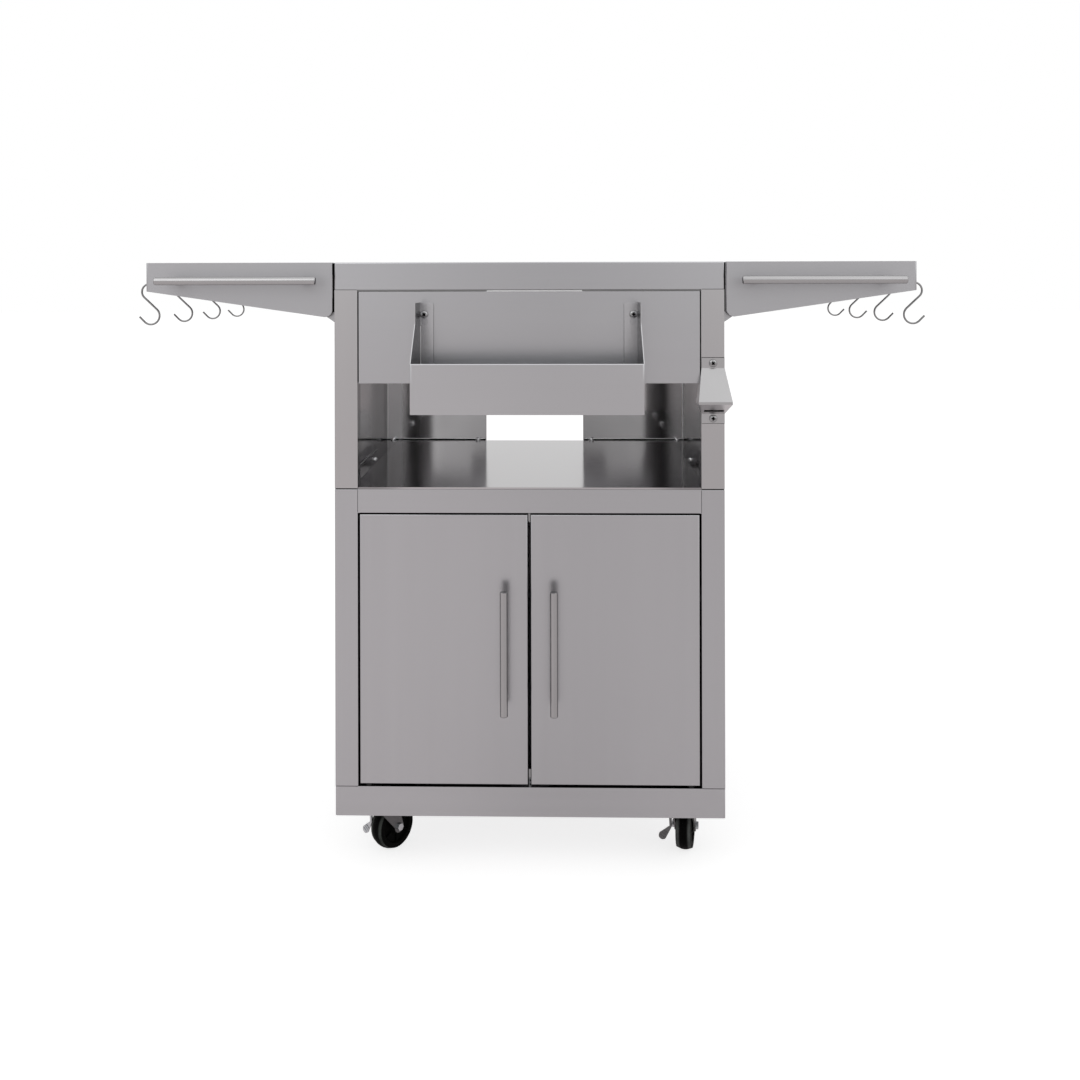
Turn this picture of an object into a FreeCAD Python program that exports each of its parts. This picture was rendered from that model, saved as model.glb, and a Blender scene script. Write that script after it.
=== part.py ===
import FreeCAD, Part
import math
import os
import re
import Sketcher

# Cart for a kamado grill, in millimetres. X runs to the right seen from the front, Y to the back, Z up.
# Every piece is drawn about the middle of the body and then moved back by body_middle, so that the
# origin lies on the floor under the middle of the whole cart with its front tray.

DIMENSIONS = [
    # whole body and its sheet
    ("body_width", 610), ("body_depth", 610), ("body_middle", 70), ("top_height", 950),
    ("gauge", 1.5), ("corner_round", 3), ("screw_radius", 2),
    # base and the channels that carry the casters
    ("base_bottom", 82), ("base_top", 128), ("channel_middle", 245), ("channel_half", 45),
    ("channel_flange", 10), ("channel_sheet", 2), ("channel_end", 300), ("channel_bottom", 105),
    # side walls with folded posts, deck and rail
    ("post_width", 36), ("post_depth", 30), ("post_return", 20), ("rear_flange", 20),
    ("deck_height", 594), ("deck_inset", 2), ("floor_flange", 20), ("rail_height", 37),
    ("side_screw_x", 287), ("side_screw_front", -200), ("side_screw_mid", 3),
    ("rear_screw_inner", 116), ("rear_screw_outer", 290), ("rear_screw_y", 291),
    ("deck_head_radius", 6.2), ("deck_head", 4.6), ("rise_half_x", 280),
    ("rise_front", -266), ("rise_back", 280), ("rise_front_x", 268.5),
    # back of the bay
    ("rear_gap", 198), ("gap_return", 12),
    # fixed front panel and top frame
    ("panel_bottom", 760), ("panel_gap", 2), ("panel_slit", 3), ("panel_tab", 20), ("panel_hem", 18),
    ("apron", 43), ("opening_radius", 270), ("collar", 10),
    # doors with their pins and catches
    ("door_bottom", 132), ("door_top", 555), ("door_side_gap", 3), ("door_middle_gap", 5),
    ("door_thick", 20), ("door_round", 2), ("liner_depth", 6), ("hinge_edge", 13), ("hinge_back", 9),
    ("pin_radius", 3), ("running_fit", 0.05), ("pin_head_radius", 5), ("pin_head", 2),
    ("pin_reach", 14), ("washer_radius", 6), ("washer_gap", 0.3),
    ("catch_half", 30), ("catch_drop", 16), ("catch_rise", 26), ("catch_foot", 22),
    ("catch_gap", 0.5), ("magnet_radius", 5), ("magnet_x", 16), ("magnet_depth", 8),
    # bar handles and towel bars
    ("bar_radius", 6), ("stud_radius", 4.5), ("bar_bevel", 1), ("handle_length", 192),
    ("handle_middle", 346.8), ("handle_x", 38.5), ("handle_stand", 37), ("handle_stud", 20),
    ("towel_inner", 328), ("towel_outer", 578), ("towel_height", 921), ("towel_stand", 40),
    ("towel_stud", 25),
    # hang-on tray
    ("tray_half", 171), ("tray_reach", 140), ("tray_bottom", 725), ("tray_lip", 798),
    ("tray_arm", 75), ("tray_arm_low", 856), ("tray_top", 887), ("tray_flange", 22),
    ("tray_flange_round", 8), ("tray_back_top", 786), ("tray_gap", 0.3),
    ("tray_screw_x", 163.5), ("tray_screw_z", 868), ("key_drop", 11), ("key_slot", 2.9),
    ("key_hole", 5.2), ("tray_shank", 2.5), ("tray_head", 4.6), ("tray_head_thick", 2.8),
    # bottle opener on the right post
    ("opener_x", 287), ("opener_half", 18), ("opener_flare", 26), ("opener_top", 800),
    ("opener_fold", 784), ("opener_edge", 734), ("opener_edge_low", 730), ("opener_root", 713),
    ("opener_low", 698), ("opener_reach", 35), ("opener_sheet", 2), ("opener_cavity", 15.5),
    ("opener_wall", 3), ("mouth_near", 8), ("mouth_far", 15.5), ("opener_screw_high", 791.5),
    ("opener_screw_low", 705.5), ("opener_shank", 2.2), ("opener_head", 4.6), ("opener_head_thick", 2.6),
    # folding side shelves and their brackets
    ("shelf_gap", 4), ("shelf_length", 295), ("shelf_half", 302), ("shelf_root", 86), ("shelf_tip", 45),
    ("shelf_corner", 12), ("root_flange", 20), ("boss_radius", 8), ("boss_length", 10),
    ("pivot_pin", 4), ("pivot_end", 1.5), ("ear_gap", 0.5), ("ear_thick", 3), ("ear_radius", 11),
    ("bracket_sheet", 3), ("bracket_length", 48), ("bracket_half", 20),
    # S hooks in the end of each shelf
    ("hook_spacing", 181), ("hook_hole", 4), ("hook_hole_drop", 32.2), ("hook_wire", 1.5),
    ("hook_upper", 12.5), ("hook_lower", 14.1), ("hook_pivot_drop", 45.6), ("hook_lower_drop", 38.2),
    ("hook_lower_in", 1.7), ("hook_tip_out", 16.3), ("hook_tip_drop", 40.1), ("hook_stand", 4),
    # swivel casters
    ("caster_x", 245), ("caster_y", 253), ("plate_half_x", 32), ("plate_half_y", 45), ("plate_thick", 3),
    ("bolt_x", 24), ("bolt_y", 36), ("bolt_radius", 4), ("bolt_head", 6.5), ("bolt_head_thick", 5),
    ("nut_thick", 6.5), ("race_radius", 25), ("race_height", 7), ("king_radius", 6), ("king_head", 10),
    ("king_head_thick", 2.7), ("crown_radius", 27), ("crown_thick", 4.5), ("crown_gap", 0.5),
    ("crown_half", 24), ("fork_half", 17), ("slot_half", 14.5), ("leg_low", 78), ("leg_front", 15.6),
    ("trail", 30),
    ("axle_boss", 9.4), ("axle_radius", 4), ("axle_head", 6), ("axle_head_thick", 4),
    ("wheel_radius", 37.5), ("wheel_half", 12.5), ("hub_half", 13.5), ("hub_radius", 11), ("tread_drop", 2),
    ("shoulder_drop", 3.2), ("rim_radius", 27), ("web_half", 9),
    ("front_left_turn", -40), ("front_right_turn", -12), ("rear_left_turn", 150), ("rear_right_turn", 168),
    # brake levers on the front casters
    ("lever_x", 21.5), ("lever_z", 62), ("lever_barrel", 3.4), ("lever_pin", 1.6), ("lever_sheet", 3),
    ("lever_from", 2), ("lever_to", 14), ("lug_thick", 2.4), ("lug_gap", 0.3), ("lug_half", 4),
    ("paddle_out", 33.6), ("paddle_low", 28), ("paddle_half", 6.3), ("paddle_side_x", 4.9),
    ("paddle_side_z", 4), ("neck_half", 2), ("neck_out", 20.5), ("neck_low", 44),
]

doc = FreeCAD.newDocument("kamado_cart")
dim = doc.addObject("Spreadsheet::Sheet", "dim")
for row, (alias, number) in enumerate(DIMENSIONS, start=1):
    dim.set(f"A{row}", alias)
    dim.set(f"B{row}", str(number))
    dim.setAlias(f"B{row}", alias)
doc.recompute()

ALIASES = {alias for alias, _ in DIMENSIONS}
PIECES = []
TOLERANCE = 1e-4


def value(text):
    """The number that an expression over the sheet's aliases gives now."""
    return float(dim.evalExpression(text))


def bound(text):
    """The same expression, written so that any object of the document can hold it."""
    return re.sub(r"[A-Za-z_]+\d*", lambda m: "dim." + m[0] if m[0] in ALIASES else m[0], text)


def polygon(points):
    """A closed outline through points, each a pair of expressions."""
    return ("polygon", points)


def rectangle(left, low, right, high):
    return polygon([(left, low), (right, low), (right, high), (left, high)])


def circle(across, along, radius):
    return ("circle", [(across, along)], radius)


def hexagon(across, along, radius):
    turns = [math.radians(60 * i) for i in range(6)]
    return polygon([(f"{across} + {math.cos(a):.6f} * {radius}", f"{along} + {math.sin(a):.6f} * {radius}")
                    for a in turns])


def new_body(name, across="0", back="0", turn=None, up="0"):
    """A body for one sub-part, moved back with the rest of the cart."""
    body = doc.addObject("PartDesign::Body", name)
    body.Label = name
    body.AllowCompound = True
    if turn is not None:
        body.Placement = FreeCAD.Placement(
            FreeCAD.Vector(), FreeCAD.Rotation(FreeCAD.Vector(0, 0, 1), value(turn)))
    body.setExpression("Placement.Base.x", bound(across))
    body.setExpression("Placement.Base.y", bound(f"body_middle + {back}"))
    body.setExpression("Placement.Base.z", bound(up))
    PIECES.append(body)
    return body


def tie(drawing, constraint, text):
    """Adds one constraint and binds its size to the sheet."""
    index = drawing.addConstraint(constraint)
    drawing.setExpression(f"Constraints[{index}]", bound(text))


def pin_point(drawing, geometry, end, point):
    """Holds one end of a sketch line, or the centre of a circle, at a bound place."""
    for kind, text in zip(("DistanceX", "DistanceY"), point):
        tie(drawing, Sketcher.Constraint(kind, -1, 1, geometry, end, value(text)), text)


def new_sketch(body, plane, lift):
    drawing = body.newObject("Sketcher::SketchObject", f"{body.Name}_sketch")
    support = next(f for f in body.Origin.OriginFeatures if f.Role == plane + "_Plane")
    drawing.AttachmentSupport = [(support, "")]
    drawing.MapMode = "FlatFace"
    drawing.setExpression("AttachmentOffset.Base.z", bound(lift))
    return drawing


def draw(drawing, loops):
    for kind, points, *radius in loops:
        places = [FreeCAD.Vector(value(a), value(b), 0) for a, b in points]
        first = drawing.GeometryCount
        if kind == "circle":
            drawing.addGeometry(Part.Circle(places[0], FreeCAD.Vector(0, 0, 1), value(radius[0])), False)
            tie(drawing, Sketcher.Constraint("Radius", first, value(radius[0])), radius[0])
            pin_point(drawing, first, 3, points[0])
            continue
        count = len(places)
        for i in range(count):
            drawing.addGeometry(Part.LineSegment(places[i], places[(i + 1) % count]), False)
        for i in range(count):
            following = first + (i + 1) % count
            drawing.addConstraint(Sketcher.Constraint("Coincident", first + i, 2, following, 1))
            pin_point(drawing, first + i, 1, points[i])


def extrude(kind, body, plane, start, end, loops):
    """Pads or pockets the loops between two planes, given by their coordinates."""
    if value(start) > value(end):
        start, end = end, start
    drawing = new_sketch(body, plane, f"-({end})" if plane == "XZ" else start)
    draw(drawing, loops)
    feature = body.newObject(f"PartDesign::{kind}", f"{body.Name}_{kind.lower()}")
    feature.Profile = drawing
    feature.Reversed = kind == "Pocket"
    feature.setExpression("Length", bound(f"({end}) - ({start})"))
    doc.recompute()
    return feature


def add(body, plane, start, end, *loops):
    return extrude("Pad", body, plane, start, end, loops)


def cut(body, plane, start, end, *loops):
    return extrude("Pocket", body, plane, start, end, loops)


def revolve(body, plane, axis, points):
    """Turns a closed outline about one axis of its own sketch."""
    drawing = new_sketch(body, plane, "0")
    draw(drawing, [polygon(points)])
    feature = body.newObject("PartDesign::Revolution", f"{body.Name}_turned")
    feature.Profile = drawing
    feature.ReferenceAxis = (drawing, [axis])
    feature.Angle = 360
    doc.recompute()
    return feature


def fillet(body, radius, wanted):
    """Rounds the edges of the body whose two ends pass the test."""
    base = body.Tip
    names = [f"Edge{i}" for i, edge in enumerate(base.Shape.Edges, start=1)
             if len(edge.Vertexes) == 2 and wanted(*[v.Point for v in edge.Vertexes])]
    feature = body.newObject("PartDesign::Fillet", f"{body.Name}_fillet")
    feature.Base = (base, names)
    feature.setExpression("Radius", bound(radius))
    doc.recompute()


def bevel_ends(body):
    """Bevels the round ends of a bar."""
    base = body.Tip
    names = [f"Edge{i}" for i, edge in enumerate(base.Shape.Edges, start=1)
             if isinstance(edge.Curve, Part.Circle)]
    feature = body.newObject("PartDesign::Chamfer", f"{body.Name}_chamfer")
    feature.Base = (base, names)
    feature.setExpression("Size", bound("bar_bevel"))
    doc.recompute()


def near(number, text):
    return abs(number - value(text)) < TOLERANCE


def upright(a, b):
    """Whether an edge between two points stands upright."""
    return math.hypot(a.x - b.x, a.y - b.y) < TOLERANCE


def along_depth(a, b):
    """Whether an edge between two points runs from front to back."""
    return math.hypot(a.x - b.x, a.z - b.z) < TOLERANCE


def mirrored(side):
    """Writes an expression for the left (-1) or right (+1) side."""
    return lambda text: f"{side} * ({text})"


HALF_W = "body_width / 2"
HALF_D = "body_depth / 2"
FRONT = "-body_depth / 2"
BACK = "body_depth / 2"
POST_IN = "body_width / 2 - post_width"
POST_BACK = "-body_depth / 2 + post_depth"
INNER_W = "body_width / 2 - gauge"
INNER_D = "body_depth / 2 - gauge"
BAY_FLOOR = "deck_height + gauge"
FRAME_LOW = "top_height - apron"
HINGE_X = "body_width / 2 - post_width - door_side_gap - hinge_edge"
HINGE_Y = "-body_depth / 2 + hinge_back"
SIDES = (("left", -1), ("right", 1))
CASTERS = [
    ("front_left", "-caster_x", "-caster_y", "front_left_turn"),
    ("front_right", "caster_x", "-caster_y", "front_right_turn"),
    ("rear_left", "-caster_x", "caster_y", "rear_left_turn"),
    ("rear_right", "caster_x", "caster_y", "rear_right_turn"),
]


def deck_screw_places():
    """Places of the screws in the bay's floor, as pairs of expressions."""
    places = []
    for _, side in SIDES:
        on = mirrored(side)
        places += [(on("side_screw_x"), "side_screw_front"), (on("side_screw_x"), "side_screw_mid")]
        places += [(on("rear_screw_inner"), "rear_screw_y"), (on("rear_screw_outer"), "rear_screw_y")]
    return places


def caster_bolt_places():
    return [(f"{x} + {sx} * bolt_x", f"{y} + {sy} * bolt_y")
            for _, x, y, _ in CASTERS for sx in (-1, 1) for sy in (-1, 1)]


def base():
    body = new_body("base_pan")
    add(body, "XY", "base_bottom", "base_top", rectangle(f"-{HALF_W}", FRONT, HALF_W, BACK))
    fillet(body, "corner_round", upright)
    cut(body, "XY", "base_bottom", "base_top - gauge",
        rectangle(f"-({INNER_W})", f"-({INNER_D})", INNER_W, INNER_D))
    cut(body, "XY", "base_top - gauge", "base_top",
        *[circle(mirrored(s)(HINGE_X), HINGE_Y, "pin_radius") for _, s in SIDES])
    for name, side in SIDES:
        channel(name, side)


def channel(name, side):
    """Hat channel under the base that the two casters of one side are bolted to."""
    body = new_body(f"{name}_base_channel", across=mirrored(side)("channel_middle"))
    top = "base_top - gauge"
    flange = "channel_half + channel_flange"
    inner = "channel_half - channel_sheet"
    half = [(flange, f"{top} - channel_sheet"), ("channel_half", f"{top} - channel_sheet"),
            ("channel_half", "channel_bottom")]
    inside = [(inner, "channel_bottom + channel_sheet"), (inner, top), (flange, top)]
    outline = half + [(f"-({x})", z) for x, z in reversed(half)]
    outline += [(f"-({x})", z) for x, z in reversed(inside)] + inside
    add(body, "XZ", "-channel_end", "channel_end", polygon(outline))
    middle = mirrored(side)("channel_middle")
    cut(body, "XY", "channel_bottom", "channel_bottom + channel_sheet",
        *[circle(f"{x} - {middle}", y, "bolt_radius") for x, y in caster_bolt_places()
          if value(x) * side > 0])


def side_wall(name, side, low, high):
    """Side sheet folded into the front post and the rear flange."""
    on = mirrored(side)
    body = new_body(name)
    post_face = f"{POST_IN} + gauge"
    ret = f"{POST_IN} + post_return"
    rear = f"{HALF_W} - rear_flange"
    outline = [(rear, BACK), (HALF_W, BACK), (HALF_W, FRONT), (POST_IN, FRONT), (POST_IN, POST_BACK),
               (ret, POST_BACK), (ret, f"{POST_BACK} - gauge"), (post_face, f"{POST_BACK} - gauge"),
               (post_face, f"{FRONT} + gauge"), (INNER_W, f"{FRONT} + gauge"),
               (INNER_W, INNER_D), (rear, INNER_D)]
    add(body, "XY", low, high, polygon([(on(x), y) for x, y in outline]))
    return body


def cabinet():
    for name, side in SIDES:
        side_wall(f"{name}_cabinet_side", side, "base_top", "deck_height")
    back = new_body("cabinet_back")
    add(back, "XZ", f"{INNER_D} - gauge", INNER_D,
        rectangle(f"-({INNER_W})", "base_top", INNER_W, "deck_height"))
    for low, high in (("base_top", "base_top + gauge"), ("deck_height - gauge", "deck_height")):
        add(back, "XY", low, high,
            rectangle(f"-({INNER_W})", f"{INNER_D} - floor_flange", INNER_W, f"{INNER_D} - gauge"))
    rail = new_body("front_rail")
    rail_low = "deck_height - rail_height"
    add(rail, "XY", rail_low, "deck_height", rectangle(f"-({POST_IN})", FRONT, POST_IN, POST_BACK))
    cut(rail, "XY", f"{rail_low} + gauge", "deck_height - gauge",
        rectangle(f"-({POST_IN})", f"{FRONT} + gauge", POST_IN, POST_BACK))
    cut(rail, "XY", rail_low, f"{rail_low} + gauge",
        *[circle(mirrored(s)(HINGE_X), HINGE_Y, "pin_radius") for _, s in SIDES])
    deck = new_body("kamado_deck")
    edge_x = f"{HALF_W} - deck_inset"
    edge_y = f"{HALF_D} - deck_inset"
    add(deck, "XY", "deck_height", BAY_FLOOR, rectangle(f"-({edge_x})", f"-({edge_y})", edge_x, edge_y))
    rise_top = f"{BAY_FLOOR} + gauge"
    add(deck, "XY", BAY_FLOOR, rise_top, rectangle("-rise_half_x", "rise_front", "rise_half_x", "rise_back"))
    add(deck, "XY", BAY_FLOOR, rise_top,
        rectangle("-rise_front_x", f"-({edge_y})", "rise_front_x", "rise_front + gauge"))
    fillet(deck, "corner_round", lambda a, b: upright(a, b) and near(max(a.z, b.z), rise_top)
           and near(abs(a.x), "rise_half_x"))
    cut(deck, "XY", "deck_height", BAY_FLOOR, rectangle(
        "-rise_half_x + gauge", "rise_front + gauge", "rise_half_x - gauge", "rise_back - gauge"))
    cut(deck, "XY", "deck_height", BAY_FLOOR, rectangle(
        "-rise_front_x + gauge", f"-({edge_y}) + gauge", "rise_front_x - gauge", "rise_front + 2 * gauge"))
    cut(deck, "XY", "deck_height", BAY_FLOOR,
        *[circle(x, y, "screw_radius") for x, y in deck_screw_places()])


def bay():
    for name, side in SIDES:
        on = mirrored(side)
        wall = side_wall(f"{name}_upper_side", side, BAY_FLOOR, FRAME_LOW)
        add(wall, "XY", BAY_FLOOR, f"{BAY_FLOOR} + gauge",
            rectangle(on(INNER_W), POST_BACK,
                      on(f"{INNER_W} - floor_flange"), f"{INNER_D} - floor_flange - gauge"))
        cut(wall, "XY", BAY_FLOOR, f"{BAY_FLOOR} + gauge",
            circle(on("side_screw_x"), "side_screw_front", "screw_radius"),
            circle(on("side_screw_x"), "side_screw_mid", "screw_radius"))
        if name == "right":
            cut(wall, "XZ", FRONT, f"{FRONT} + gauge",
                circle("opener_x", "opener_screw_high", "opener_shank"),
                circle("opener_x", "opener_screw_low", "opener_shank"))
        rear = new_body(f"{name}_rear_panel")
        add(rear, "XY", BAY_FLOOR, FRAME_LOW, polygon([(on(x), y) for x, y in (
            (INNER_W, INNER_D), ("rear_gap / 2", INNER_D), ("rear_gap / 2", f"{INNER_D} - gap_return"),
            ("rear_gap / 2 + gauge", f"{INNER_D} - gap_return"),
            ("rear_gap / 2 + gauge", f"{INNER_D} - gauge"), (INNER_W, f"{INNER_D} - gauge"))]))
        add(rear, "XY", BAY_FLOOR, f"{BAY_FLOOR} + gauge",
            rectangle(on(INNER_W), f"{INNER_D} - floor_flange", on("rear_gap / 2"), f"{INNER_D} - gauge"))
        cut(rear, "XY", BAY_FLOOR, f"{BAY_FLOOR} + gauge",
            circle(on("rear_screw_inner"), "rear_screw_y", "screw_radius"),
            circle(on("rear_screw_outer"), "rear_screw_y", "screw_radius"))
    screws = new_body("deck_screws")
    floor_top = f"{BAY_FLOOR} + gauge"
    add(screws, "XY", "deck_height", floor_top,
        *[circle(x, y, "screw_radius") for x, y in deck_screw_places()])
    add(screws, "XY", floor_top, f"{floor_top} + deck_head",
        *[circle(x, y, "deck_head_radius") for x, y in deck_screw_places()])
    front_panel()
    top_frame()


def front_panel():
    """Fixed panel over the front opening, with tabs that sit behind the posts."""
    body = new_body("upper_front_panel")
    edge = f"{POST_IN} - panel_gap"
    high = f"{FRAME_LOW} - panel_slit"
    tab_back = f"{POST_BACK} + gauge"
    half = [(edge, FRONT), (edge, POST_BACK), (f"{edge} + panel_tab", POST_BACK),
            (f"{edge} + panel_tab", tab_back), (f"{edge} - gauge", tab_back),
            (f"{edge} - gauge", f"{FRONT} + gauge")]
    outline = half + [(f"-({x})", y) for x, y in reversed(half)]
    add(body, "XY", "panel_bottom", high, polygon(outline))
    for low, top in (("panel_bottom", "panel_bottom + gauge"), (f"{high} - gauge", high)):
        add(body, "XY", low, top,
            rectangle(f"-({edge} - gauge)", f"{FRONT} + gauge", f"{edge} - gauge", f"{FRONT} + panel_hem"))
    cut(body, "XZ", FRONT, f"{FRONT} + gauge",
        circle("-tray_screw_x", "tray_screw_z", "tray_shank"),
        circle("tray_screw_x", "tray_screw_z", "tray_shank"))


def top_frame():
    """Top sheet with a deep apron and a round opening with a turned-down collar."""
    body = new_body("top_frame")
    add(body, "XY", FRAME_LOW, "top_height", rectangle(f"-{HALF_W}", FRONT, HALF_W, BACK))
    fillet(body, "door_round", lambda a, b: near(max(a.z, b.z), "top_height"))
    cut(body, "XY", FRAME_LOW, "top_height - gauge",
        rectangle(f"-({INNER_W})", f"-({INNER_D})", INNER_W, INNER_D))
    add(body, "XY", "top_height - collar", "top_height - gauge", circle("0", "0", "opening_radius + gauge"))
    cut(body, "XY", "top_height - collar", "top_height", circle("0", "0", "opening_radius"))


def hinge_pins():
    body = new_body("door_hinge_pins")
    rail_low = "deck_height - rail_height"
    places = [(mirrored(s)(HINGE_X), HINGE_Y) for _, s in SIDES]
    steps = [("door_top - pin_reach", f"{rail_low} + gauge", "pin_radius"),
             (f"{rail_low} + gauge", f"{rail_low} + gauge + pin_head", "pin_head_radius"),
             ("base_top - gauge - pin_head", "base_top - gauge", "pin_head_radius"),
             ("base_top - gauge", "door_bottom + pin_reach", "pin_radius"),
             ("base_top", "door_bottom - washer_gap", "washer_radius")]
    for low, high, radius in steps:
        add(body, "XY", low, high, *[circle(x, y, radius) for x, y in places])


def catches():
    face = f"{FRONT} + door_thick + catch_gap"
    foot = f"{face} + catch_foot"
    rail_low = "deck_height - rail_height"
    upper = new_body("upper_door_catch")
    upper_low = f"{rail_low} - catch_drop"
    add(upper, "XZ", face, f"{face} + gauge", rectangle("-catch_half", upper_low, "catch_half", rail_low))
    add(upper, "XY", f"{rail_low} - gauge", rail_low,
        rectangle("-catch_half", face, "catch_half", POST_BACK))
    lower = new_body("lower_door_catch")
    lower_top = "base_top + catch_rise"
    add(lower, "XZ", face, f"{face} + gauge", rectangle("-catch_half", "base_top", "catch_half", lower_top))
    add(lower, "XY", "base_top", "base_top + gauge", rectangle("-catch_half", face, "catch_half", foot))
    for body, height in ((upper, f"{rail_low} - catch_drop / 2"), (lower, f"{lower_top} - magnet_depth")):
        add(body, "XZ", face, f"{face} + magnet_depth",
            *[circle(f"{s} * magnet_x", height, "magnet_radius") for s in (-1, 1)])


def door(name, side):
    """Folded outer skin, inner liner and bar handle of one door."""
    on = mirrored(side)
    outer = f"{POST_IN} - door_side_gap"
    inner = "door_middle_gap / 2"
    door_back = f"{FRONT} + door_thick"
    skin = new_body(f"{name}_door_skin")
    add(skin, "XZ", FRONT, door_back, rectangle(on(inner), "door_bottom", on(outer), "door_top"))
    fillet(skin, "door_round", lambda a, b: near(a.y, FRONT) and near(b.y, FRONT))
    cut(skin, "XZ", f"{FRONT} + gauge", door_back,
        rectangle(on(f"{inner} + gauge"), "door_bottom + gauge", on(f"{outer} - gauge"), "door_top - gauge"))
    cut(skin, "XY", "door_bottom", "door_top", circle(on(HINGE_X), HINGE_Y, "pin_radius + running_fit"))
    liner = new_body(f"{name}_door_liner")
    add(liner, "XZ", f"{door_back} - liner_depth", door_back,
        rectangle(on(f"{inner} + gauge"), "door_bottom + gauge", on(f"{outer} - gauge"), "door_top - gauge"))
    cut(liner, "XZ", f"{door_back} - liner_depth", f"{door_back} - gauge",
        rectangle(on(f"{inner} + 2 * gauge"), "door_bottom + 2 * gauge",
                  on(f"{outer} - 2 * gauge"), "door_top - 2 * gauge"))
    handle = new_body(f"{name}_door_handle")
    bar = f"{FRONT} - handle_stand"
    low = "handle_middle - handle_length / 2"
    high = "handle_middle + handle_length / 2"
    add(handle, "XY", low, high, circle(on("handle_x"), bar, "bar_radius"))
    bevel_ends(handle)
    add(handle, "XZ", bar, FRONT, *[circle(on("handle_x"), z, "stud_radius")
                                    for z in (f"{low} + handle_stud", f"{high} - handle_stud")])


def tray():
    """Sheet tray that hangs by keyholes on two screws in the front panel."""
    body = new_body("front_tray")
    rear = f"{FRONT} - tray_gap"
    front = f"{FRONT} - tray_reach"
    arm = f"{FRONT} - tray_arm"
    add(body, "YZ", "-tray_half", "tray_half", polygon([
        (rear, "tray_bottom"), (front, "tray_bottom"), (front, "tray_lip"), (arm, "tray_arm_low"),
        (arm, "tray_top"), (rear, "tray_top")]))
    fillet(body, "corner_round", lambda a, b: near(a.y, front) and near(b.y, front) and upright(a, b))
    inner = "tray_half - gauge"
    cut(body, "XY", "tray_bottom + gauge", "tray_top",
        rectangle(f"-({inner})", f"{front} + gauge", inner, f"{rear} - gauge"))
    window = "tray_half - tray_flange"
    cut(body, "XZ", f"{rear} - gauge", rear,
        rectangle(f"-({window})", "tray_back_top", window, "tray_top"))
    fillet(body, "tray_flange_round", lambda a, b: along_depth(a, b) and near(a.z, "tray_back_top")
           and near(abs(a.x), window))
    for side in (-1, 1):
        x = f"{side} * tray_screw_x"
        low = "tray_screw_z - key_drop"
        cut(body, "XZ", f"{rear} - gauge", rear, circle(x, low, "key_hole"))
        cut(body, "XZ", f"{rear} - gauge", rear, circle(x, "tray_screw_z", "key_slot"))
        cut(body, "XZ", f"{rear} - gauge", rear,
            rectangle(f"{x} - key_slot", low, f"{x} + key_slot", "tray_screw_z"))
    screws = new_body("tray_screws")
    neck = f"{rear} - gauge - tray_gap"
    add(screws, "XZ", neck, f"{FRONT} + gauge",
        *[circle(f"{s} * tray_screw_x", "tray_screw_z", "tray_shank") for s in (-1, 1)])
    add(screws, "XZ", f"{neck} - tray_head_thick", neck,
        *[circle(f"{s} * tray_screw_x", "tray_screw_z", "tray_head") for s in (-1, 1)])


def bottle_opener():
    """Cast hood with a mouth under it, held by two screws."""
    body = new_body("bottle_opener", across="opener_x")
    face = f"{FRONT} - opener_sheet"
    tip = f"{FRONT} - opener_reach"
    add(body, "YZ", "-opener_flare", "opener_flare", polygon([
        (FRONT, "opener_top"), (face, "opener_top"), (face, "opener_fold"), (tip, "opener_edge"),
        (tip, "opener_edge_low"), (face, "opener_root"), (face, "opener_low"), (FRONT, "opener_low")]))
    for side in (-1, 1):
        on = mirrored(side)
        cut(body, "XZ", tip, FRONT, polygon([
            (on("opener_flare"), "opener_top"), (on("opener_half"), "opener_top"),
            (on("opener_half"), "opener_fold"), (on("opener_flare"), "opener_edge")]))
        cut(body, "XZ", tip, FRONT, polygon([
            (on("opener_flare"), "opener_low"), (on("opener_half"), "opener_low"),
            (on("opener_half"), "opener_root"), (on("opener_flare"), "opener_edge_low")]))
    cut(body, "YZ", "-opener_cavity", "opener_cavity", polygon([
        (FRONT, "opener_fold - opener_wall"), (face, "opener_fold - opener_wall"),
        (f"{tip} + opener_wall", "opener_edge"), (FRONT, "opener_root + opener_wall")]))
    cut(body, "XY", "opener_low", "opener_edge", rectangle(
        "-opener_cavity", f"{FRONT} - mouth_far", "opener_cavity", f"{FRONT} - mouth_near"))
    heights = ("opener_screw_high", "opener_screw_low")
    cut(body, "XZ", face, FRONT, *[circle("0", z, "opener_shank") for z in heights])
    screws = new_body("opener_screws", across="opener_x")
    add(screws, "XZ", face, f"{FRONT} + gauge", *[circle("0", z, "opener_shank") for z in heights])
    add(screws, "XZ", f"{face} - opener_head_thick", face,
        *[circle("0", z, "opener_head") for z in heights])


SHELF_ROOT = "body_width / 2 + shelf_gap"
SHELF_END = "body_width / 2 + shelf_gap + shelf_length"
FOLD_X = "body_width / 2 + shelf_gap + shelf_corner"
FOLD_Z = "top_height - shelf_root + shelf_corner"
HOOK_X = "body_width / 2 + shelf_gap + shelf_length + hook_stand"
HOOK_Z = "top_height - hook_pivot_drop"


def hook_rows():
    return [f"{k} * hook_spacing" for k in (-1.5, -0.5, 0.5, 1.5)]


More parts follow.
